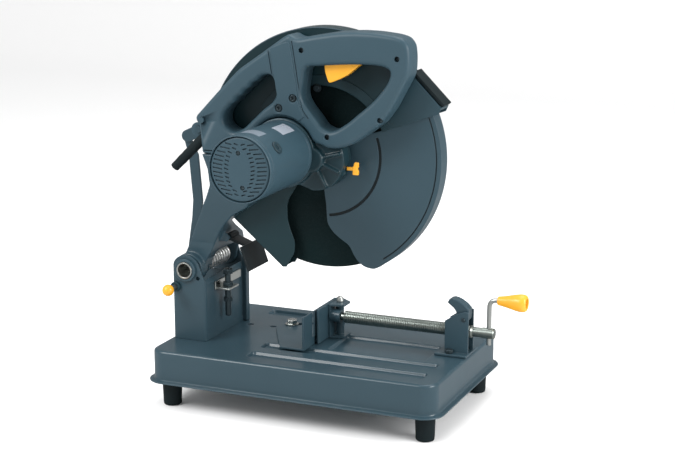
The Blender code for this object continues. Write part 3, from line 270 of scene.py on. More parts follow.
def smooth_closed(points, steps):
    out = []
    for i in range(len(points)):
        four = [Vector(points[(i + k - 1) % len(points)]) for k in range(4)]
        out += curve_span(*four, steps)
    return out


def smooth_open(points, steps):
    inner = [Vector(p) for p in points]
    padded = [inner[0] * 2 - inner[1]] + inner + [inner[-1] * 2 - inner[-2]]
    out = []
    for i in range(1, len(padded) - 2):
        out += curve_span(*padded[i - 1:i + 3], steps)
    out.append(tuple(points[-1]))
    return out


def corner_round(points, radius, steps):
    """Rounds each corner of a closed outline with a short curve."""
    out = []
    for i, corner in enumerate(points):
        here = Vector(corner)
        back = Vector(points[i - 1]) - here
        ahead = Vector(points[(i + 1) % len(points)]) - here
        reach = min(radius, back.length * 0.45, ahead.length * 0.45)
        start, end = here + back.normalized() * reach, here + ahead.normalized() * reach
        for k in range(steps + 1):
            t = k / steps
            out.append(tuple((1 - t) ** 2 * start + 2 * t * (1 - t) * here + t * t * end))
    return out


# ---- material helpers ----
def new_material(name):
    mat = bpy.data.materials.new(name)
    mat.use_nodes = True
    return mat, mat.node_tree, mat.node_tree.nodes["Principled BSDF"]


def add_node(tree, kind, inputs, **settings):
    """Adds a node; an input that is given a socket is linked, any other is set."""
    node = tree.nodes.new("ShaderNode" + kind)
    for key, value in settings.items():
        setattr(node, key, value)
    for key, value in inputs.items():
        if isinstance(value, bpy.types.NodeSocket):
            tree.links.new(value, node.inputs[key])
        else:
            node.inputs[key].default_value = value
    return node


def mix(tree, factor, first, second):
    first, second = (c if isinstance(c, bpy.types.NodeSocket) else (*c, 1)
                     for c in (first, second))
    inputs = {"Factor": factor, "A": first, "B": second}
    return add_node(tree, "Mix", inputs, data_type="RGBA").outputs["Result"]


def map_range(tree, value, source=(0.0, 1.0), target=(0.0, 1.0)):
    return add_node(tree, "MapRange", {
        "Value": value, "From Min": source[0], "From Max": source[1],
        "To Min": target[0], "To Max": target[1]}).outputs["Result"]


def surface(name, colour, rough, metallic=0.0, grain=900.0, bump=0.05, mottle=0.10, edge_wear_and_highlight=0.25,
            edge_wear_and_highlight_colour=None, edge=0.7, coat=0.0, streak=(1.0, 1.0, 1.0), speck=None,
            rough_spread=0.10, bump_distance=0.0002, specular=0.5):
    """A finish with broad colour drift, fine relief, uneven gloss and lighter edges, partly wear and
    partly painted highlight.

    grain is the scale of the relief, bump and bump_distance (m) its strength and depth, and streak
    stretches it. mottle is the colour drift; the wear-and-highlight strength sets how much the edges
    lighten, partly as wear and partly as painted highlight, and edge sets their width (mm).
    rough_spread is how far the roughness strays either way. speck adds dots.
    """
    mat, tree, shader = new_material(name)
    coord = add_node(tree, "TexCoord", {}).outputs["Object"]
    stretched = add_node(tree, "Mapping", {"Vector": coord, "Scale": streak}).outputs["Vector"]
    broad, fine = (
        add_node(tree, "TexNoise", {"Vector": vector, "Scale": scale, "Detail": detail}).outputs["Fac"]
        for vector, scale, detail in ((coord, 14.0, 5.0), (stretched, grain, 3.0)))
    dark = tuple(c * (1 - mottle) for c in colour)
    light = tuple(min(c * (1 + mottle), 1) for c in colour)
    base = mix(tree, broad, dark, light)
    if speck:
        cells = add_node(tree, "TexVoronoi", {"Vector": coord, "Scale": speck["scale"]})
        dots = map_range(tree, cells.outputs["Distance"], (0.0, speck["reach"]), (1.0, 0.0))
        base = mix(tree, dots, base, speck["colour"])
    # edges are where the rounded normal turns away from the true one; there the colour lightens,
    # partly as wear and partly as painted highlight
    soft = add_node(tree, "Bevel", {"Radius": edge * MM}, samples=4).outputs["Normal"]
    true = add_node(tree, "NewGeometry", {}).outputs["Normal"]
    dot = add_node(tree, "VectorMath", {0: soft, 1: true}, operation="DOT_PRODUCT")
    at_edge = map_range(tree, dot.outputs["Value"], (0.985, 0.80), (0.0, edge_wear_and_highlight))
    wear_and_highlight_tint = edge_wear_and_highlight_colour or tuple(min(c * 1.6 + 0.05, 1) for c in colour)
    tree.links.new(mix(tree, at_edge, base, wear_and_highlight_tint), shader.inputs["Base Color"])
    gloss = map_range(tree, broad, (0.3, 0.7),
                      (max(rough - rough_spread, 0.03), min(rough + rough_spread, 1)))
    tree.links.new(gloss, shader.inputs["Roughness"])
    relief = add_node(tree, "Bump", {
        "Strength": bump, "Distance": bump_distance, "Height": fine, "Normal": soft})
    tree.links.new(relief.outputs["Normal"], shader.inputs["Normal"])
    shader.inputs["Metallic"].default_value = metallic
    shader.inputs["Specular IOR Level"].default_value = specular
    if coat:
        shader.inputs["Coat Weight"].default_value = coat
        shader.inputs["Coat Roughness"].default_value = 0.12
    mat.diffuse_color = (*colour, 1)
    return mat


def paint_light_and_shade_along_x(mat, start, end, colour):
    """Paints light and shade into a finish: fades it to another colour between two stations along X.
    """
    _, tree, shader = mat, mat.node_tree, mat.node_tree.nodes["Principled BSDF"]
    before = shader.inputs["Base Color"].links[0].from_socket
    coord = add_node(tree, "TexCoord", {}).outputs["Object"]
    x = add_node(tree, "SeparateXYZ", {"Vector": coord}).outputs["X"]
    fade = map_range(tree, x, ((start - FOOT_X) * MM, (end - FOOT_X) * MM))
    tree.links.new(mix(tree, fade, before, colour), shader.inputs["Base Color"])


# ---- materials ----
BLUE = (0.025, 0.052, 0.068)
# settings shared by groups of finishes; the lighter edge colour here is partly wear and partly painted
# highlight
SLATE = dict(specular=0.3, edge_wear_and_highlight_colour=(0.15, 0.21, 0.26))
SPRAYED = dict(grain=420, bump=0.10, edge=0.9, rough_spread=0.05)
LABEL = dict(grain=300, bump=0.05, mottle=0.05, edge_wear_and_highlight=0.1, edge=0.3)

SLATE_PAINT = surface("slate_paint_finish", BLUE, rough=0.36, mottle=0.05, edge_wear_and_highlight=0.24, coat=0.12,
                      **SPRAYED, **SLATE)
TRAY_PAINT = surface("slate_table_paint", BLUE, rough=0.34, grain=300, bump=0.08, mottle=0.05,
                     edge_wear_and_highlight=0.26, edge=1.1, coat=0.25, rough_spread=0.03, **SLATE)
MOULD = surface("slate_moulded_finish", (0.029, 0.060, 0.079), rough=0.44, grain=1500, bump=0.22,
                mottle=0.04, edge_wear_and_highlight=0.22, edge=1.1, bump_distance=0.0001, rough_spread=0.05, **SLATE)
DARK_PAINT = surface("dark_slate_finish", (0.010, 0.030, 0.038), rough=0.42, mottle=0.08,
                     edge_wear_and_highlight=0.22, coat=0.06, specular=0.25, edge_wear_and_highlight_colour=(0.06, 0.10, 0.12), **SPRAYED)
YELLOW = surface("yellow_moulded", (0.76, 0.35, 0.018), rough=0.36, grain=900, bump=0.12,
                 mottle=0.05, edge_wear_and_highlight=0.15, edge=0.8, bump_distance=0.0001, coat=0.1)
RUBBER = surface("black_rubber_finish", (0.004, 0.010, 0.012), rough=0.60, specular=0.2,
                 grain=1600, bump=0.5, mottle=0.15, edge_wear_and_highlight=0.15, edge=0.8)
ZINC = surface("zinc_plate_finish", (0.50, 0.52, 0.50), rough=0.32, metallic=1.0, grain=240,
               bump=0.14, mottle=0.14, edge_wear_and_highlight=0.2, edge=0.5,
               speck=dict(scale=420.0, reach=0.25, colour=(0.62, 0.63, 0.60)))
STEEL = surface("turned_steel_finish", (0.52, 0.52, 0.51), rough=0.26, metallic=1.0, grain=500,
                bump=0.18, mottle=0.06, edge_wear_and_highlight=0.2, edge=0.4, streak=(1.0, 8.0, 1.0))
GEAR_STEEL = surface("gear_steel_finish", (0.28, 0.28, 0.29), rough=0.36, metallic=1.0, grain=500,
                     bump=0.2, edge_wear_and_highlight=0.4, edge=0.4)
BRONZE = surface("bronze_finish", (0.50, 0.31, 0.13), rough=0.36, metallic=1.0, grain=700,
                 bump=0.2, edge_wear_and_highlight=0.2, edge=0.3)
COPPER = surface("copper_finish", (0.78, 0.35, 0.19), rough=0.32, metallic=1.0, grain=900,
                 bump=0.25, edge_wear_and_highlight=0.2, edge=0.3, streak=(1.0, 0.1, 1.0))
LAMINATION = surface("lamination_finish", (0.20, 0.20, 0.21), rough=0.5, metallic=1.0, grain=700,
                     bump=0.4, edge_wear_and_highlight=0.2, edge=0.3, streak=(0.1, 3.0, 0.1))
GRIT = surface("bonded_grit", (0.003, 0.010, 0.011), rough=0.88, grain=1100, bump=0.9, mottle=0.3,
               edge_wear_and_highlight=0.1, edge=0.4, bump_distance=0.0005, specular=0.12,
               speck=dict(scale=900.0, reach=0.22, colour=(0.05, 0.065, 0.065)))
BLACK_PAINT = surface("black_paint_finish", (0.004, 0.009, 0.011), rough=0.40, specular=0.25,
                      grain=420, bump=0.10, edge_wear_and_highlight=0.3, edge=0.8)
BLACK_PLASTIC = surface("black_plastic_finish", (0.016, 0.018, 0.020), rough=0.50, grain=1300,
                        bump=0.25, mottle=0.08, edge_wear_and_highlight=0.2, edge=0.6, bump_distance=0.0001)
CARBON = surface("carbon_finish", (0.03, 0.03, 0.03), rough=0.6, grain=1200, bump=0.4, mottle=0.2,
                 edge_wear_and_highlight=0.1, edge=0.4)
BOLT = surface("dark_bolt_steel", (0.045, 0.065, 0.075), rough=0.36, metallic=0.8, grain=500,
               bump=0.2, mottle=0.12, edge_wear_and_highlight=0.30, edge=0.4, edge_wear_and_highlight_colour=(0.22, 0.26, 0.27))
SCREW_STEEL = surface("screw_steel", (0.26, 0.29, 0.27), rough=0.34, metallic=1.0, grain=400,
                      bump=0.2, edge_wear_and_highlight=0.2, edge=0.3)
SPRING_STEEL = surface("spring_steel", (0.80, 0.81, 0.80), rough=0.30, metallic=0.85, grain=500,
                       mottle=0.06, edge_wear_and_highlight=0.2, edge=0.4)
CAP_PLASTIC = surface("dark_cap_finish", (0.014, 0.032, 0.042), rough=0.40, grain=1300, bump=0.2,
                      mottle=0.06, edge=0.6, bump_distance=0.0001, specular=0.3)
PLATE_FILM = surface("blank_plate_film", (0.36, 0.40, 0.46), rough=0.30, metallic=0.3, **LABEL)
PLATE_GREY = surface("blank_plate_grey", (0.17, 0.21, 0.25), rough=0.34, metallic=0.2, **LABEL)
ARM_PAINT = surface("slate_arm_paint", BLUE, rough=0.38, grain=380, bump=0.14, mottle=0.06,
                    edge_wear_and_highlight=0.24, edge=0.9, coat=0.12, rough_spread=0.05, **SLATE)
GUARD_PAINT = surface("dark_guard_paint", (0.006, 0.024, 0.030), rough=0.38, edge_wear_and_highlight=0.24, coat=0.10,
                      specular=0.25, edge_wear_and_highlight_colour=(0.06, 0.11, 0.13), **SPRAYED)
# painted shade: the arm's paint darkens between x = -28 and 6 and stays dark forward of that, where
# the arm lies in shade
paint_light_and_shade_along_x(ARM_PAINT, start=-28, end=6, colour=(0.010, 0.028, 0.036))
# painted light: the fixed guard's paint lightens between x = 90 and 170 towards the front, where the
# light falls on it
paint_light_and_shade_along_x(GUARD_PAINT, start=90, end=170, colour=(0.022, 0.048, 0.062))

# the CAD nodes that wear each finish
CAD_NODES = {
    ARM_PAINT: "swing_arm",
    SLATE_PAINT: "pivot_column fence nut_block half_nut_lever jaw_plate jaw_bracket guard_lever "
                 "guard_link guard_moving",
    TRAY_PAINT: "base_tray", DARK_PAINT: "gear_case_cover", GUARD_PAINT: "guard_fixed",
    MOULD: "motor_housing motor_end_cap handle_near_half handle_far_half",
    YELLOW: "lock_pin_knob crank_grip trigger spindle_lock_button",
    BLACK_PLASTIC: "brush_cap motor_fan switch_block",
    RUBBER: "foot_front_near foot_front_far foot_rear_near foot_rear_far chute_seal cord_sleeve",
    BOLT: "stop_bolt nut_block_bolt lever_pin arbor_bolt",
    ZINC: "pivot_shaft stop_bracket lock_pin fence_bolt jaw_pin vise_screw crank_rod",
    STEEL: "return_spring spindle inner_flange outer_flange spindle_bearing_rear "
           "spindle_bearing_front rotor_bearing_front rotor_bearing_rear",
    GEAR_STEEL: "drive_gear rotor_shaft", BRONZE: "hub_bush_near hub_bush_far",
    COPPER: "rotor_core commutator", LAMINATION: "stator", GRIT: "abrasive_wheel",
    CARBON: "carbon_brush", BLACK_PAINT: "spark_deflector",
}
for mat, names in CAD_NODES.items():
    for name in names.split():
        for material_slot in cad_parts[name].material_slots:
            material_slot.material = mat


# ---- making pieces ----
def shade(mesh):
    mesh.shade_smooth()
    mesh.set_sharp_from_angle(angle=math.radians(34))


def object_of(name, shape, mat=None):
    bmesh.ops.remove_doubles(shape, verts=shape.verts, dist=0.001)
    shape.transform(Matrix.Scale(MM, 4) @ HOME)
    mesh = bpy.data.meshes.new("m")
    shape.to_mesh(mesh)
    shape.free()
    shade(mesh)
    mesh.name = name
    obj = bpy.data.objects.new(name, mesh)
    bpy.context.scene.collection.objects.link(obj)
    if mat:
        mesh.materials.append(mat)
    return obj


def carve(obj, shapes, operation):
    """Cuts or joins each shape in turn and keeps the result as the object's own mesh."""
    helpers = []
    for shape in shapes:
        helper = object_of("tool", shape)
        boolean = obj.modifiers.new("b", "BOOLEAN")
        boolean.operation = operation
        boolean.object = helper
        boolean.solver = "EXACT"
        helpers.append(helper)
    bpy.context.view_layer.update()
    made = bpy.data.meshes.new_from_object(
        obj.evaluated_get(bpy.context.evaluated_depsgraph_get()))
    obj.modifiers.clear()
    obj.data = made
    for helper in helpers:
        bpy.data.objects.remove(helper)


def soften(obj, width, segments):
    """Rounds the sharp edges and evens the shading of the flats."""
    if width:
        bevel = obj.modifiers.new("round", "BEVEL")
        bevel.width = width * MM
        bevel.segments = segments
        bevel.limit_method = "ANGLE"
        bevel.angle_limit = math.radians(32)
        bevel.harden_normals = False
        bevel.use_clamp_overlap = True
    even = obj.modifiers.new("even", "WEIGHTED_NORMAL")
    even.keep_sharp = True
    even.weight = 70


def piece(name, shape, mat, body, replaces=None, width=0.0, segments=2, cuts=(), joins=()):
    """A finished object that rides on a body; width rounds its edges with a bevel modifier."""
    obj = object_of(name, shape, mat)
    if joins:
        carve(obj, joins, "UNION")
    if cuts:
        carve(obj, cuts, "DIFFERENCE")
    # guards against a boolean result that has lost its material
    if not obj.data.materials:
        obj.data.materials.append(mat)
    shade(obj.data)
    soften(obj, width, segments)
    if replaces:
        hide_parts(replaces)
    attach(obj, body)


def hex_head(centre, radius, low, high):
    """An upright hexagon with its upper corners turned off."""
    return turned([(0, low), (radius, low), (radius, high - radius * 0.12),
                   (radius * 0.86, high), (0, high)], "Z", centre, 6)


# ---- base tray ----
# grooves pressed into the top: x0, x1, y0, y1
GROOVES = ((22, 178, -40, 38), (-80, 205, -70, -49), (-80, 205, -120, -98), (-150, 205, 104, 126))
# groove section: widening, height over the top
GROOVE_SECTION = ((0.0, -4.5), (0.35, -4.1), (0.9, -3.2), (1.7, -1.6), (2.3, -0.7), (3.0, -0.2),
                  (4.0, 0.05), (4.1, 1.0))


def base_ring(offset, z):
    half_x, half_y = BASE_L / 2 + offset, BASE_W / 2 + offset
    return at_height(rounded(-half_x, half_x, -half_y, half_y, BASE_R + offset, 12), z)


def groove_blocks():
    """Thickens the sheet under each groove."""
    out = []
    for x0, x1, y0, y1 in GROOVES:
        outline = rounded(x0 - 3, x1 + 3, y0 - 3, y1 + 3, 7, 6)
        out.append(loft([at_height(outline, BASE_TOP - 6.5), at_height(outline, BASE_TOP - 1.0)]))
    return out


def tray_cuts():
    out = []
    for x0, x1, y0, y1 in GROOVES:
        out.append(loft([
            at_height(rounded(x0 - g, x1 + g, y0 - g, y1 + g, 4.0 + g, 8), BASE_TOP + height)
            for g, height in GROOVE_SECTION]))
    low, high = BASE_TOP - 5, BASE_TOP + 3
    for x, y in ((-151, 36), (-111, 38)):
        out.append(prism(rounded(x - 6, x + 6, y - 4, y + 4, 3.9, 6), "XY", low, high))
    for centre, radius, sides in (((-82, 49), 5.3, 24), ((206, -1), 4.3, 20), ((206, 41), 4.3, 20)):
        out.append(rod("Z", centre, radius, low, high, sides))
    return out


def tray():
    rim = BASE_RIM_Z
    # offset from the base outline, z
    outside = [(BASE_LIP - 1.4, rim)] + arc((BASE_LIP - 1.3, rim + 1.3), 1.3, -80, 80, 4)
    outside += [(2.6, rim + 3.2), (1.2, rim + 3.8), (0.35, rim + 5.2), (0, rim + 7.5), (0, 70)]
    outside += arc((-5.0, BASE_TOP - 5.0), 5.0, 0, 90, 7)
    inside = [(-SHEET, rim + 1.0), (-SHEET, BASE_TOP - 6.0), (-SHEET - 4.0, BASE_TOP - SHEET)]
    shape = bmesh.new()
    outer, inner = ([ring_of(shape, base_ring(*station)) for station in stations]
                    for stations in (outside, inside))
    shape.faces.new(outer[-1])
    shape.faces.new(inner[-1])
    for rings in (outer, inner):
        for first, second in zip(rings, rings[1:]):
            bridge(shape, first, second)
    bridge(shape, outer[0], inner[0])
    return face_outwards(shape)


piece("tray_pressing", tray(), TRAY_PAINT, "base", "base_tray", joins=groove_blocks(),
      cuts=tray_cuts())


# ---- feet ----
def foot(label, x, y):
    low, top, height = FOOT_R_BOTTOM, FOOT_R_TOP, BASE_RIM_Z - GAP
    profile = [(0, 2.0), (4.5, 2.0), (5.5, 0.6), (low - 3, 0), (low - 1.2, 0.3), (low - 0.3, 1.2),
               (low, 2.6), (top - 0.5, height - 6), (top, height - 4), (top, height - 0.8),
               (top - 0.8, height), (0, height)]
    piece(f"rubber_foot_{label}", turned(profile, "Z", (x, y), 48), RUBBER, "base", f"foot_{label}")
    piece(f"foot_screw_{label}", rod("Z", (x, y), 3.8, 1.2, 3.0, 20, chamfer=0.5), BOLT, "base",
          cuts=[box(x - 3, x + 3, y - 0.6, y + 0.6, 0.5, 1.9)])


foot("front_near", FOOT_X, -FOOT_Y)
foot("front_far", FOOT_X, FOOT_Y)
foot("rear_near", -FOOT_X, -FOOT_Y)
foot("rear_far", -FOOT_X, FOOT_Y)

# ---- handle shell: outlines as x, z ----
HANDLE = [
    (-176, 446), (-178, 455), (-141, 494), (-104, 531), (-66, 557), (-29, 583), (-20, 588),
    (-6, 581), (17, 586), (57, 593), (89, 595.5), (118, 595), (147, 592), (161, 588), (169, 578),
    (171, 560), (170, 536), (142, 484), (126, 462), (102, 444), (80, 428), (58, 421), (40, 421),
    (30, 426)]
# only the two middle corners of the step behind the motor are kept
REAR_STEP = [(-84.5, 400), (-86, 398.4), (-167, 398.4), (-171, 416)]
GRIP_HOLE = [
    (8, 539), (32, 543), (77, 547), (111, 548), (131, 546), (140, 540), (139, 529), (131, 515),
    (113, 494), (92, 476), (70, 458), (49, 447), (33, 451), (22, 464), (7, 482), (0, 497), (2, 517)]
CARRY_HOLE = [
    (-48, 523), (-60, 525), (-72, 519), (-81, 512), (-101, 494), (-118, 477), (-130, 461),
    (-129, 446), (-115, 436), (-98, 441), (-81, 456), (-64, 472), (-47, 486), (-41, 502)]
TRIGGER_POCKET = [(24, 535), (24, 564), (148, 573), (148, 553), (98, 553), (98, 535)]
# fine lines cut in the near face, either side of the raised panel
LINE_REAR = [(-53.5, 566), (-50, 548), (-44.5, 512), (-41.5, 496), (-44, 486)]
LINE_FRONT = [(-14, 578), (-9, 548), (-3.5, 512), (-1.5, 490), (3, 476), (12, 464)]
SHELL_SCREWS = [(1, 565), (152, 559), (125, 468), (42, 438), (-165, 451)]
SOCKETS = [(-13, 493), (-36, 477)]
# the waved edge of the carry opening: a point on it, and its direction
WAVE_X, WAVE_Z = -68, 522
EDGE_X, EDGE_Z = -0.745, -0.667
WAVE_HALF_DEPTH, WAVE_PITCH, WAVE_LENGTH = 0.9, 17.0, 68


def carry_outline():
    """The carry opening, with finger waves along its upper rear edge."""
    out = []
    for x, z in smooth_closed(CARRY_HOLE, 12):
        along = (x - WAVE_X) * EDGE_X + (z - WAVE_Z) * EDGE_Z
        across = (x - WAVE_X) * -EDGE_Z + (z - WAVE_Z) * EDGE_X
        push = 0.0
        if 0 < along < WAVE_LENGTH and abs(across) < 9:
            push = WAVE_HALF_DEPTH * (1 - math.cos(2 * math.pi * along / WAVE_PITCH))
        out.append((x - EDGE_Z * push, z + EDGE_X * push))
    return out


def line_groove(points, half_width):
    left, right = [], []
    for i, (x, z) in enumerate(points):
        before = Vector(points[max(i - 1, 0)])
        after = Vector(points[min(i + 1, len(points) - 1)])
        along = (after - before).normalized()
        left.append((x - along.y * half_width, z + along.x * half_width))
        right.append((x + along.y * half_width, z - along.x * half_width))
    return prism(left + right[::-1], "XZ", -98, -90.2)


def cord_ring(x, z, radius, sides):
    """A ring square to the cord, which slopes down to the rear."""
    return [(x - 0.72 * radius * math.cos(a), CORD_Y + radius * math.sin(a),
             z + 0.70 * radius * math.cos(a)) for a in angles(sides)]


def shared_cuts():
    """The trigger pocket and cord hole, which cross the split between the halves."""
    return [prism(TRIGGER_POCKET, "XZ", -79.0, -63.0),
            loft([cord_ring(-166.5, 426.5, 8.3, 28), cord_ring(-197, 397, 8.3, 28)])]


def near_cuts():
    out = [line_groove(LINE_REAR, 0.8), line_groove(LINE_FRONT, 0.8)]
    out += [rod("Y", c, 4.2, -96, -84.0, 28) for c in SHELL_SCREWS]
    out += [rod("Y", c, 6.0, -96, -89.0, 32) for c in SOCKETS]
    return out + shared_cuts()


def far_cuts():
    gear_case = arc(WHEEL, 49.0, -92, 70, 40) + arc(MOTOR, 40.0, 70, 268, 30)
    return shared_cuts() + [
        prism(grown(gear_case, 0.5), "XZ", HEAD_SPLIT - 1, HEAD_Y1 + 5),
        rod("Y", LEVER, 6.2, HEAD_SPLIT - 5, HEAD_Y1 + 5, 24)]


skin = corner_round(HANDLE, 9.0, 4) + arc(MOTOR, 54.0, 24, 190, 60)
skin += corner_round(REAR_STEP, 4.0, 3)[4:-4]
near_shell = slab(skin, [smooth_closed(GRIP_HOLE, 5), carry_outline()], HEAD_Y0, HEAD_Y1, 7.0, 5)
far_shell = near_shell.copy()
lever_ear = prism(arc((-160, 430), 13, -90, 90, 12) + arc(LEVER, 11, 90, 270, 16), "XZ",
                  HEAD_SPLIT + 0.15, HEAD_Y1 - 1)
piece("handle_shell_near", half_of(near_shell, HEAD_SPLIT - 0.2, True), MOULD, "head",
      "handle_near_half", cuts=near_cuts())
piece("handle_shell_far", half_of(far_shell, HEAD_SPLIT + 0.2, False), MOULD, "head",
      "handle_far_half", joins=[lever_ear], cuts=far_cuts())

# raised panel between the two lines
PANEL = [(-49.5, 566), (-46.5, 548), (-41.0, 512), (-38.0, 495), (-41, 485), (-46, 474), (-44, 469)]
PANEL += arc(MOTOR, 58.5, 101, 60, 12)
PANEL += [(6, 467), (-0.5, 478), (-5.0, 490), (-7.0, 512), (-12.5, 548), (-17.0, 575.5),
          (-22, 577), (-30, 574)]
piece("handle_panel", slab(corner_round(PANEL, 2.0, 2), [arc(c, 6.2, 0, 345, 23) for c in SOCKETS],
                           -93.4, -90.6, 1.1, 3), MOULD, "head")

# cross-slotted screws, then bolts with a round recess; profiles are radius, y
for i, (x, z) in enumerate(SHELL_SCREWS):
    piece(f"handle_screw_{i}",
          turned([(0, -84.2), (3.9, -84.2), (3.9, -86.6), (3.2, -87.6), (1.6, -88.1), (0, -88.2)],
                 "Y", (x, z), 24), BOLT, "head",
          cuts=[box(x - 2.4, x + 2.4, -90, -86.9, z - 0.45, z + 0.45),
                box(x - 0.45, x + 0.45, -90, -86.9, z - 2.4, z + 2.4)])
SOCKET_R, SOCKET_FACE, SOCKET_DEPTH = 5.2, -92.6, 4.2
KEY_R = SOCKET_R * 0.45
KEY_FLOOR = SOCKET_FACE + SOCKET_DEPTH * 0.6
for i, centre in enumerate(SOCKETS):
    piece(f"arm_socket_bolt_{i}", turned([
        (0, SOCKET_FACE + SOCKET_DEPTH), (SOCKET_R, SOCKET_FACE + SOCKET_DEPTH),
        (SOCKET_R, SOCKET_FACE + 0.5), (SOCKET_R - 0.6, SOCKET_FACE), (KEY_R + 0.4, SOCKET_FACE),
        (KEY_R, SOCKET_FACE + 0.5), (KEY_R, KEY_FLOOR), (0, KEY_FLOOR)], "Y", centre, 24),
        BOLT, "head")

# ---- trigger and spindle lock tab: outlines as x, z ----
TRIGGER = [(33, 533), (31, 552), (60, 560), (92, 556), (92, 547.5), (86, 543.5), (78, 537),
           (70, 530), (56, 523), (39, 516)]
LOCK_TAB = [(72.5, 379), (81.5, 379), (81.5, 386), (79.5, 388.5), (81.5, 391), (81.5, 398),
            (75.5, 398.5), (74, 393), (72.5, 391)]
piece("trigger_moulding", slab(corner_round(TRIGGER, 5.0, 4), [], -78.0, -64.0, 1.6, 3), YELLOW,
      "trigger_body", "trigger")
piece("lock_tab_moulding", slab(corner_round(LOCK_TAB, 1.2, 3), [], -66.2, -61.8, 0.8, 3), YELLOW,
      "spindle_lock_body", "spindle_lock_button",
      joins=[box(63, 73.5, -65.4, -62.6, 385.5, 390.5)])

# ---- arm casting: the CAD solid with its edges melted to casting radii ----
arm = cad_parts["swing_arm"]
remesh = arm.modifiers.new("cast", "REMESH")
remesh.mode = "VOXEL"
remesh.voxel_size = 1.3 * MM
remesh.use_smooth_shade = True
melt = arm.modifiers.new("melt", "SMOOTH")
melt.factor = 0.5
melt.iterations = 5

# ---- motor: profiles are radius, y ----
BRUSH_Y, BRUSH_ANGLE = -194.0, 35.0
CAN = [
    (47.0, -92.3), (50.0, -92.3), (50.0, -98), (49.5, -98.6), (49.5, -100.2), (50.0, -100.8),
    (50.0, -224.0), (49.4, -224.6), (49.4, -225.4), (50.0, -226), (50.0, -231.6), (49.3, -233.4),
    (48.6, -234.0), (47.9, -233.4), (47.7, -228.0), (47.0, -228.0)]
END_FACE = [
    (0, -233.2), (20, -233.4), (44.6, -232.6), (46.0, -231.6), (46.6, -230.2), (46.6, -223.0),
    (44.0, -223.0), (44.0, -229.8), (15.0, -229.8), (15.0, -217.8), (11.1, -217.8),
    (11.1, -228.0), (0, -228.0)]
FACE_SCREWS = ((-34, 433), (-28, 383))
SLOT_PITCH, SLOT_HALF, SLOT_FIELD_R = 6.1, 1.05, 43.0


def on_brush_axis(shape):
    """Turns a shape made about Z to point out of the motor at the brush."""
    turn = Matrix.Rotation(math.radians(90 - BRUSH_ANGLE), 4, "Y")
    shape.transform(Matrix.Translation((MOTOR_X, BRUSH_Y, MOTOR_Z)) @ turn)
    return shape


def vent_slots():
    """Rows of slightly tilted slots either side of the plain oval centre."""
    out = []
    for k in range(-6, 7):
        dz = k * SLOT_PITCH
        row_end = math.sqrt(SLOT_FIELD_R ** 2 - dz * dz)
        row_start = 15.5 * math.sqrt(max(1 - (dz / 31.0) ** 2, 0)) + 2.2
        for side in (-1, 1):
            for start, end in ((row_start, min(row_start + 6.5, row_end)),
                               (row_start + 10.0, row_end)):
                if end - start > 3:
                    x0, x1 = sorted((MOTOR_X + side * start, MOTOR_X + side * end))
                    z, tilt = MOTOR_Z + dz, 0.9 * side
                    out.append(prism([
                        (x0, z - SLOT_HALF - tilt), (x1, z - SLOT_HALF + tilt),
                        (x1, z + SLOT_HALF + tilt), (x0, z + SLOT_HALF - tilt)],
                        "XZ", -236, -230.6))
    return joined(out)


piece("motor_can", turned(CAN, "Y", MOTOR, 96, closed=True), MOULD, "head", "motor_housing",
      cuts=[on_brush_axis(rod("Z", (0, 0), 10.4, 48.9, 62, 40)),
            on_brush_axis(rod("Z", (0, 0), 8.2, 42, 62, 32))])
piece("motor_face", turned(END_FACE, "Y", MOTOR, 96), MOULD, "head", "motor_end_cap",
      cuts=[vent_slots()] + [rod("Y", c, 3.6, -236, -231.0, 24) for c in FACE_SCREWS])
for i, (x, z) in enumerate(FACE_SCREWS):
    piece(f"motor_face_screw_{i}",
          turned([(0, -230.8), (3.2, -230.8), (3.2, -232.0), (2.4, -232.7), (0, -232.9)],
                 "Y", (x, z), 24), BOLT, "head",
          cuts=[box(x - 2, x + 2, -234, -232.1, z - 0.4, z + 0.4)])
# profile: radius, distance from the motor's axis
BRUSH_CAP = [(0, 43.0), (7.9, 43.0), (7.9, 49.0), (9.6, 49.2), (9.6, 50.9), (8.8, 51.6),
             (5.2, 51.8), (4.6, 51.2), (0, 51.2)]
piece("brush_screw_cap", on_brush_axis(turned(BRUSH_CAP, "Z", (0, 0), 40)), CAP_PLASTIC, "head",
      "brush_cap", cuts=[on_brush_axis(box(-4, 4, -0.8, 0.8, 50.2, 54))])
# thin curved plates lying on the can: start and end angle, y0, y1
for name, start, end, y0, y1, mat in (("blank_plate_a", 52, 76, -152, -112, PLATE_FILM),
                                      ("blank_plate_b", 66, 100, -210, -186, PLATE_GREY)):
    piece(name, prism(sector(MOTOR, 50.3, 49.9, start, end, 20), "XZ", y0, y1), mat, "head",
          width=0.1)

# ---- wheel: thicker in the middle, with a blunt rim ----
near_y, far_y = WHEEL_Y - WHEEL_T / 2, WHEEL_Y + WHEEL_T / 2
piece("cutting_wheel", turned([
    (12.8, near_y), (33, near_y), (33.6, near_y + 0.25), (WHEEL_R - 0.6, near_y + 0.25),
    (WHEEL_R, near_y + 0.7), (WHEEL_R, far_y - 0.7), (WHEEL_R - 0.6, far_y - 0.25),
    (33.6, far_y - 0.25), (33, far_y), (12.8, far_y)], "Y", WHEEL, 180, closed=True),
    GRIT, "spindle_body", "abrasive_wheel")

# ---- fixed guard: outlines as x, z ----
FIXED_R = GUARD_R + 3.5
FRONT_LIP = [(201, 476), (205, 485), (157, 533)]
REAR_CHORD = [(-158.5, 310.5), (-126, 283), (-52.5, 220.8)]
FLAP_EDGE = [(-46, 221.5), (-38, 236), (-33, 245), (-32, 262), (-38, 279), (-43, 296), (-44, 319)]


def around_wheel(radius, angle):
    angle = math.radians(angle)
    return (WHEEL_X + radius * math.cos(angle), WHEEL_Z + radius * math.sin(angle))


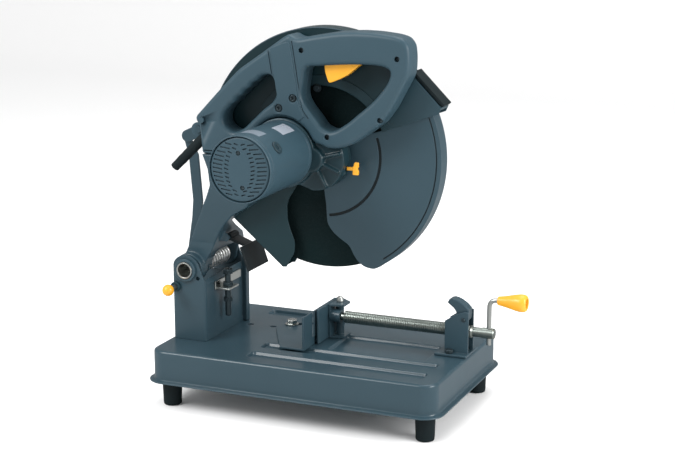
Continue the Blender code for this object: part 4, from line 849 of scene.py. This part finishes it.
solid = FRONT_LIP + arc(WHEEL, FIXED_R, 48, 207, 110) + REAR_CHORD + smooth_open(FLAP_EDGE, 5)
solid += [around_wheel(90, 232), around_wheel(40, 225)] + arc(WHEEL, 38, 200, 60, 20)
solid += [around_wheel(52, 26)]
hollow = [(WHEEL_X + 40, WHEEL_Z - 6), (207, 469), (202.6, 484.6), (155.6, 530.9)]
hollow += arc(WHEEL, FIXED_R - GUARD_T, 48, 207, 110)
hollow += [(-157.0, 311.4), (-125.0, 284.4), (-52.0, 222.6), (-30, 205), (-20, 300),
           (WHEEL_X, WHEEL_Z - 60)]
window = arc(WHEEL, 106, 150, -10, 70)
window += [(WHEEL_X + 60, WHEEL_Z - 40), (WHEEL_X - 20, WHEEL_Z - 48)]
window += arc(WHEEL, 50, 250, 150, 24)
piece("guard_shell", prism(solid, "XZ", -48.0, -14.5), GUARD_PAINT, "head", "guard_fixed",
      width=0.5, cuts=[prism(hollow, "XZ", -46.5, -16.0), prism(window, "XZ", -52, -40),
                       rod("Y", WHEEL, 30.0, -20, -10, 64)])
# raised band on the near plate, and rolled rims on both plates
piece("guard_near_band", prism(sector(WHEEL, 122, 107, 146, 26, 60), "XZ", -49.2, -47.8),
      DARK_PAINT, "head", width=0.5)
for name, y in (("guard_far_bead", -14.9), ("guard_near_bead", -47.6)):
    path = [(x, y, z) for x, z in arc(WHEEL, FIXED_R - 1.2, 50, 205, 110)]
    piece(name, swept(path, 1.1, 10), SLATE_PAINT, "head")

# ---- swinging guard: its free edge as x, z ----
S_EDGE = [(17, 348), (18.5, 336), (20, 325), (21, 309), (23, 296), (32, 283), (45, 273),
          (58, 264), (66, 250), (74, 240), (84, 233.5), (98, 231.5), (109, 236)]
rim_start = math.degrees(math.atan2(S_EDGE[-1][1] - WHEEL_Z, S_EDGE[-1][0] - WHEEL_X)) + 0.8
plate = smooth_open(S_EDGE, 6) + arc(WHEEL, GUARD_R, rim_start, 50, 110)
plate += [around_wheel(150, 48), around_wheel(106, 24), around_wheel(60, 30)]
plate += arc(WHEEL, 48, 40, 262, 60)
pocket = [around_wheel(300, rim_start - 14)]
pocket += arc(WHEEL, GUARD_R - GUARD_T, rim_start - 12, 60, 110)
pocket += [around_wheel(300, 62), (WHEEL_X - 300, WHEEL_Z + 150), (WHEEL_X - 300, WHEEL_Z - 300),
           (WHEEL_X, WHEEL_Z - 300)]
ring_groove = sector(WHEEL, 95.5, 91.0, -84, 20, 60)
rim_groove = sector(WHEEL, 183.5, 181.5, rim_start + 2, 46, 90)
piece("swing_guard", prism(plate, "XZ", -44.5, -18.0), SLATE_PAINT, "lower_guard", "guard_moving",
      width=0.6, cuts=[prism(pocket, "XZ", -43.0, -19.5), rod("Y", WHEEL, 28.2, -50, -40, 64),
                       rod("Y", WHEEL, 36.0, -22, -10, 64), prism(ring_groove, "XZ", -46, -43.6),
                       prism(rim_groove, "XZ", -46, -43.6)])
# black strips lying in the two grooves, painted shade in the hollows: outer and inner radius, start
# and end angle
for name, outer, inner, start, end in (
        ("swing_guard_ring_shade_strip", 95.3, 91.2, -83.7, 19.7),
        ("swing_guard_rim_shade_strip", 183.3, 181.7, rim_start + 2.4, 45.6)):
    piece(name, prism(sector(WHEEL, outer, inner, start, end, 90), "XZ", -43.95, -43.5),
          BLACK_PAINT, "lower_guard")

# ---- vise screw with a cut thread ----
THREAD_X0, THREAD_X1, THREAD_STEP, THREAD_SIDES = 24.6, 236.0, 0.5, 30
THREAD_DEPTH, THREAD_PITCH, THREAD_FADE = 0.95, 3.0, 3.0
CRANK_X, CRANK_BEND_R = 263, 11


def screw_ring(x, radii):
    return [(x, SCREW_Y + radius * math.cos(a), SCREW_Z + radius * math.sin(a))
            for radius, a in zip(radii, angles(THREAD_SIDES))]


def thread_radii(x):
    """Radii round the screw at x; the thread fades out towards both ends."""
    fade = min(1.0, (x - THREAD_X0) / THREAD_FADE, (THREAD_X1 - x) / THREAD_FADE)
    radii = []
    for k in range(THREAD_SIDES):
        ridge = abs((x / THREAD_PITCH - k / THREAD_SIDES) % 1.0 - 0.5) * 2
        cut = THREAD_DEPTH * (1 - min(ridge * 1.3, 1.0)) * max(fade, 0.15)
        radii.append(SCREW_R - cut - (0.0 if fade > 0.15 else 0.4))
    return radii


def threaded_screw():
    shape = bmesh.new()
    count = int((THREAD_X1 - THREAD_X0) / THREAD_STEP)
    rings = []
    for i in range(count + 1):
        x = THREAD_X0 + (THREAD_X1 - THREAD_X0) * i / count
        rings.append(ring_of(shape, screw_ring(x, thread_radii(x))))
    for first, second in zip(rings, rings[1:]):
        bridge(shape, first, second)
    # plain ends: radius, x
    tip = [(6.0, 24.0), (6.0, 4.6)]
    head = [(8.6, THREAD_X1 + 0.8), (7.5, THREAD_X1 + 2.4), (7.5, 252), (8.4, 252.4),
            (8.4, 270.6), (7.4, 271.9)]
    for last, profile in ((rings[0], tip), (rings[-1], head)):
        for radius, x in profile:
            ring = ring_of(shape, screw_ring(x, [radius] * THREAD_SIDES))
            bridge(shape, last, ring)
            last = ring
        shape.faces.new(last)
    return face_outwards(shape)


def crank_path():
    """Up through the screw head, round a quarter bend, then forward to the grip."""
    bend_x, bend_z = CRANK_X + CRANK_BEND_R, GRIP_Z - CRANK_BEND_R
    path = [(CRANK_X, SCREW_Y, z) for z in (112, 140, 160, bend_z)]
    for k in range(1, 10):
        angle = math.pi * k / 20
        path.append((bend_x - CRANK_BEND_R * math.cos(angle), SCREW_Y,
                     bend_z + CRANK_BEND_R * math.sin(angle)))
    return path + [(x, SCREW_Y, GRIP_Z) for x in (bend_x, 300, 319)]


piece("threaded_screw", threaded_screw(), SCREW_STEEL, "vise_screw_body", "vise_screw",
      cuts=[rod("Z", (CRANK_X, SCREW_Y), 3.75, SCREW_Z - 15, SCREW_Z + 15, 24)])
piece("crank_wire", swept(crank_path(), 3.6, 28), ZINC, "vise_screw_body", "crank_rod", width=0.4)
# profile: radius, x
CRANK_KNOB = [
    (3.75, 276.5), (5.8, 276.5), (6.5, 277.0), (6.9, 278.2), (7.4, 281.5), (8.4, 287),
    (9.6, 292.5), (10.9, 298), (12.1, 303), (13.1, 308), (13.7, 312.5), (13.8, 315), (13.5, 317.6),
    (12.8, 319.8), (11.6, 321.6), (10.2, 322.4), (8.4, 322.5), (7.6, 321.8), (7.0, 314),
    (3.75, 314)]
piece("crank_knob", turned(CRANK_KNOB, "X", (SCREW_Y, GRIP_Z), 56, closed=True), YELLOW,
      "crank_grip_body", "crank_grip")

# ---- lock pin knob and collar ----
BALL_R, BALL_Y = 9.2, -107.5
ball = [(BALL_R * math.sin(math.pi * k / 24), BALL_Y - BALL_R * math.cos(math.pi * k / 24))
        for k in range(25)]
piece("lock_knob_ball", turned(ball, "Y", LOCK_PIN, 48), YELLOW, "lock_pin_body", "lock_pin_knob",
      cuts=[rod("Y", LOCK_PIN, 3.9, -102.3, -90, 24)])
piece("lock_pin_collar",
      turned([(4.3, -85.5), (7.4, -85.5), (8.0, -84.9), (8.0, -80.4), (4.3, -80.4)],
             "Y", LOCK_PIN, 32, closed=True), DARK_PAINT, "base")

# ---- jaw bracket: foot, back plate, top lug, round post and screw boss ----
JAW_BACK = JAW_X + 3.2 + GAP
JAW_POST = (9.5, 34)
JAW_LUG = [(JAW_BACK, 12), (24, 18), (24, 42), (JAW_BACK, 62)]
piece("jaw_bracket_weldment", prism(JAW_LUG, "XY", BASE_TOP + 0.8, BASE_TOP + 4), SLATE_PAINT,
      "jaw", "jaw_bracket", width=0.4,
      joins=[box(JAW_BACK, JAW_BACK + 3, 12.2, 61.8, BASE_TOP + 2, 149),
             prism(grown(JAW_LUG, -0.1), "XY", 147.2, 150),
             rod("Z", JAW_POST, 6.4, BASE_TOP + 2, 148.5, 40),
             rod("X", SCREW, 10.3, JAW_BACK + 1.5, 17.5, 48)],
      cuts=[rod("Z", JAW_POST, 4.2, 84, 155, 32), rod("X", SCREW, 6.15, 4.0, 40, 32)])

# ---- cross web inside the column, under the shaft ----
WEB = [(-231, 96.5), (-174.5, 96.5), (-174.5, 184), (-180, 187), (-231, 187)]
piece("column_cross_web", slab(corner_round(WEB, 3.0, 3), [], 19.0, 21.4, 0.5, 2), SLATE_PAINT,
      "base")

# ---- return spring on the pivot ----
COIL_R, COIL_TURNS, COIL_Y0, COIL_Y1, COIL_STEPS = 14.0, 8.5, -26.0, 47.0, 40
coil = [(PIVOT[0] + COIL_R, COIL_Y0 - 0.3, PIVOT[1] + 11.0)]
for k in range(int(COIL_TURNS * COIL_STEPS) + 1):
    angle = 2 * math.pi * k / COIL_STEPS
    coil.append((PIVOT[0] + COIL_R * math.cos(angle),
                 COIL_Y0 + (COIL_Y1 - COIL_Y0) * k / (COIL_TURNS * COIL_STEPS),
                 PIVOT[1] - COIL_R * math.sin(angle)))
piece("torsion_spring", swept(coil, 2.4, 14), SPRING_STEEL, "base", "return_spring")

# ---- pivot tube and collar: profiles are radius, y ----
piece("pivot_tube", turned([
    (SHAFT_BORE, -85.6), (SHAFT_BORE + 0.5, -86.0), (SHAFT_R - 0.4, -86.0), (SHAFT_R, -85.6),
    (SHAFT_R, -32.0), (SHAFT_R - 0.5, -31.5), (8.5, -31.5), (8.5, 66.6), (8.1, 67.0), (5.0, 67.0),
    (5.0, -40.0), (SHAFT_BORE, -40.0)], "Y", PIVOT, 64, closed=True), ZINC, "base", "pivot_shaft")
piece("pivot_collar",
      turned([(13.9, -84.4), (17.6, -84.4), (18.4, -83.6), (18.4, -80.3), (13.9, -80.3)],
             "Y", PIVOT, 64, closed=True), SLATE_PAINT, "base")

# ---- depth stop nuts, guard bolt ----
STOP = (-158, -29)
piece("stop_lock_nut", hex_head(STOP, 8.8, 175.6, 181.6), BOLT, "base",
      cuts=[rod("Z", STOP, 5.0, 170, 190, 24)])
piece("stop_lower_nut", hex_head(STOP, 8.0, 150.0, 156.0), BOLT, "depth_stop")
piece("guard_bolt",
      turned([(0, -48.2), (6.4, -48.2), (6.4, -49.4), (5.0, -49.4), (5.0, -52.6), (4.3, -53.4),
              (0, -53.4)], "Y", (8, 504), 24), BOLT, "head")

# ---- ribbed cord sleeve, chute strip ----
sleeve = []
for k in range(13):
    t = k / 12
    rib = 0.35 if k % 2 and 2 < k < 11 else 0
    sleeve.append(cord_ring(-168.0 + t * (-57.0), 425.0 + t * (-55.0), 7.9 - 0.7 * t + rib, 36))
piece("cord_boot", loft(sleeve), RUBBER, "head", "cord_sleeve", width=0.5)
STRIP = [(158.4, 534.0), (206.2, 486.2), (209.6, 489.6), (161.8, 537.4)]
piece("chute_strip", prism(STRIP, "XZ", -47.0, -15.5), RUBBER, "head", "chute_seal", width=0.8,
      segments=3)

# ---- plain stage ----
PALE = 0.96
# floor half width, where the far wall's bend starts, bend radius, wall height and floor level
STAGE_X, BEND_Y, BEND_R, WALL_Z, FLOOR_Z = 5000.0, 3200, 900, 3000.0, -0.6


def floor_material():
    mat, tree, shader = new_material("pale_floor")
    noise = add_node(tree, "TexNoise", {"Scale": 3.0}).outputs["Fac"]
    base = mix(tree, noise, [PALE * 0.985] * 3, [PALE] * 3)
    shader.inputs["Roughness"].default_value = 0.9
    shader.inputs["Specular IOR Level"].default_value = 0.1
    # reflections see a dimmer room, as black flags around a studio set would give
    glossy = add_node(tree, "LightPath", {}).outputs["Is Glossy Ray"]
    tree.links.new(mix(tree, glossy, base, [PALE * 0.35] * 3), shader.inputs["Base Color"])
    return mat


def stage_sheet():
    """A floor that curves up into a wall on the far side."""
    profile = [(-STAGE_X, FLOOR_Z), (BEND_Y, FLOOR_Z)]
    for degrees in range(10, 91, 10):
        angle = math.radians(degrees)
        profile.append((BEND_Y + BEND_R * math.sin(angle),
                        BEND_R + FLOOR_Z - BEND_R * math.cos(angle)))
    profile.append((BEND_Y + BEND_R, WALL_Z))
    sheet = bmesh.new()
    left, right = (ring_of(sheet, [(x, y, z) for y, z in profile]) for x in (-STAGE_X, STAGE_X))
    for i in range(len(profile) - 1):
        sheet.faces.new((left[i], right[i], right[i + 1], left[i + 1]))
    return sheet


object_of("studio_floor", stage_sheet(), floor_material())

# ---- soft light ----
scene = bpy.context.scene
# keeps a world that the frame may have brought with it
world = scene.world or bpy.data.worlds.new("studio")
scene.world = world
world.use_nodes = True
sky = world.node_tree
background = sky.nodes["Background"]
background.inputs["Color"].default_value = (1.0, 1.0, 1.0, 1)
ray = add_node(sky, "LightPath", {})
# strength: 0.85, less for reflections (0.40), and 0.2 more where the camera sees it
level = map_range(sky, ray.outputs["Is Glossy Ray"], target=(0.85, 0.40))
seen = add_node(sky, "Math", {0: ray.outputs["Is Camera Ray"], 1: 0.2, 2: level},
                operation="MULTIPLY_ADD")
sky.links.new(seen.outputs["Value"], background.inputs["Strength"])


def lamp(name, where, target, size, power):
    """A square lamp; places and size are in metres, from the middle of the base."""
    data = bpy.data.lights.new(name, "AREA")
    data.shape, data.size, data.energy = "SQUARE", size, power
    obj = bpy.data.objects.new(name, data)
    obj.location = Vector(where) + HOME.translation * MM
    aim = Vector(target) - Vector(where)
    obj.rotation_euler = aim.to_track_quat("-Z", "Y").to_euler()
    scene.collection.objects.link(obj)


lamp("key", where=(-1.1, -1.5, 1.7), target=(0, 0, 0.3), size=1.0, power=40)
lamp("top", where=(0.2, 0.4, 2.2), target=(0, 0, 0.2), size=1.6, power=26)
lamp("right", where=(1.9, -0.3, 1.0), target=(0.1, 0, 0.3), size=1.0, power=34)

# ---- camera ----
CAMERA_AT = (992.91, -2277.63, 855.97)
AZIMUTH, ELEVATION = math.radians(22.65), math.radians(13.09)
camera = bpy.data.cameras.new("camera")
camera_obj = bpy.data.objects.new("camera", camera)
scene.collection.objects.link(camera_obj)
forward = Vector((-math.sin(AZIMUTH) * math.cos(ELEVATION),
                  math.cos(AZIMUTH) * math.cos(ELEVATION), -math.sin(ELEVATION)))
right = Vector((math.cos(AZIMUTH), math.sin(AZIMUTH), 0))
up = right.cross(forward)
camera_obj.matrix_world = Matrix((right, up, -forward)).transposed().to_4x4()
camera_obj.location = HOME @ Vector(CAMERA_AT) * MM
camera.sensor_width, camera.lens = 36.0, 87.1898667
camera.shift_x, camera.shift_y = -0.0200444444, -0.0137481481
camera.clip_end = 30.0
scene.camera = camera_obj
scene.view_settings.view_transform = "Standard"
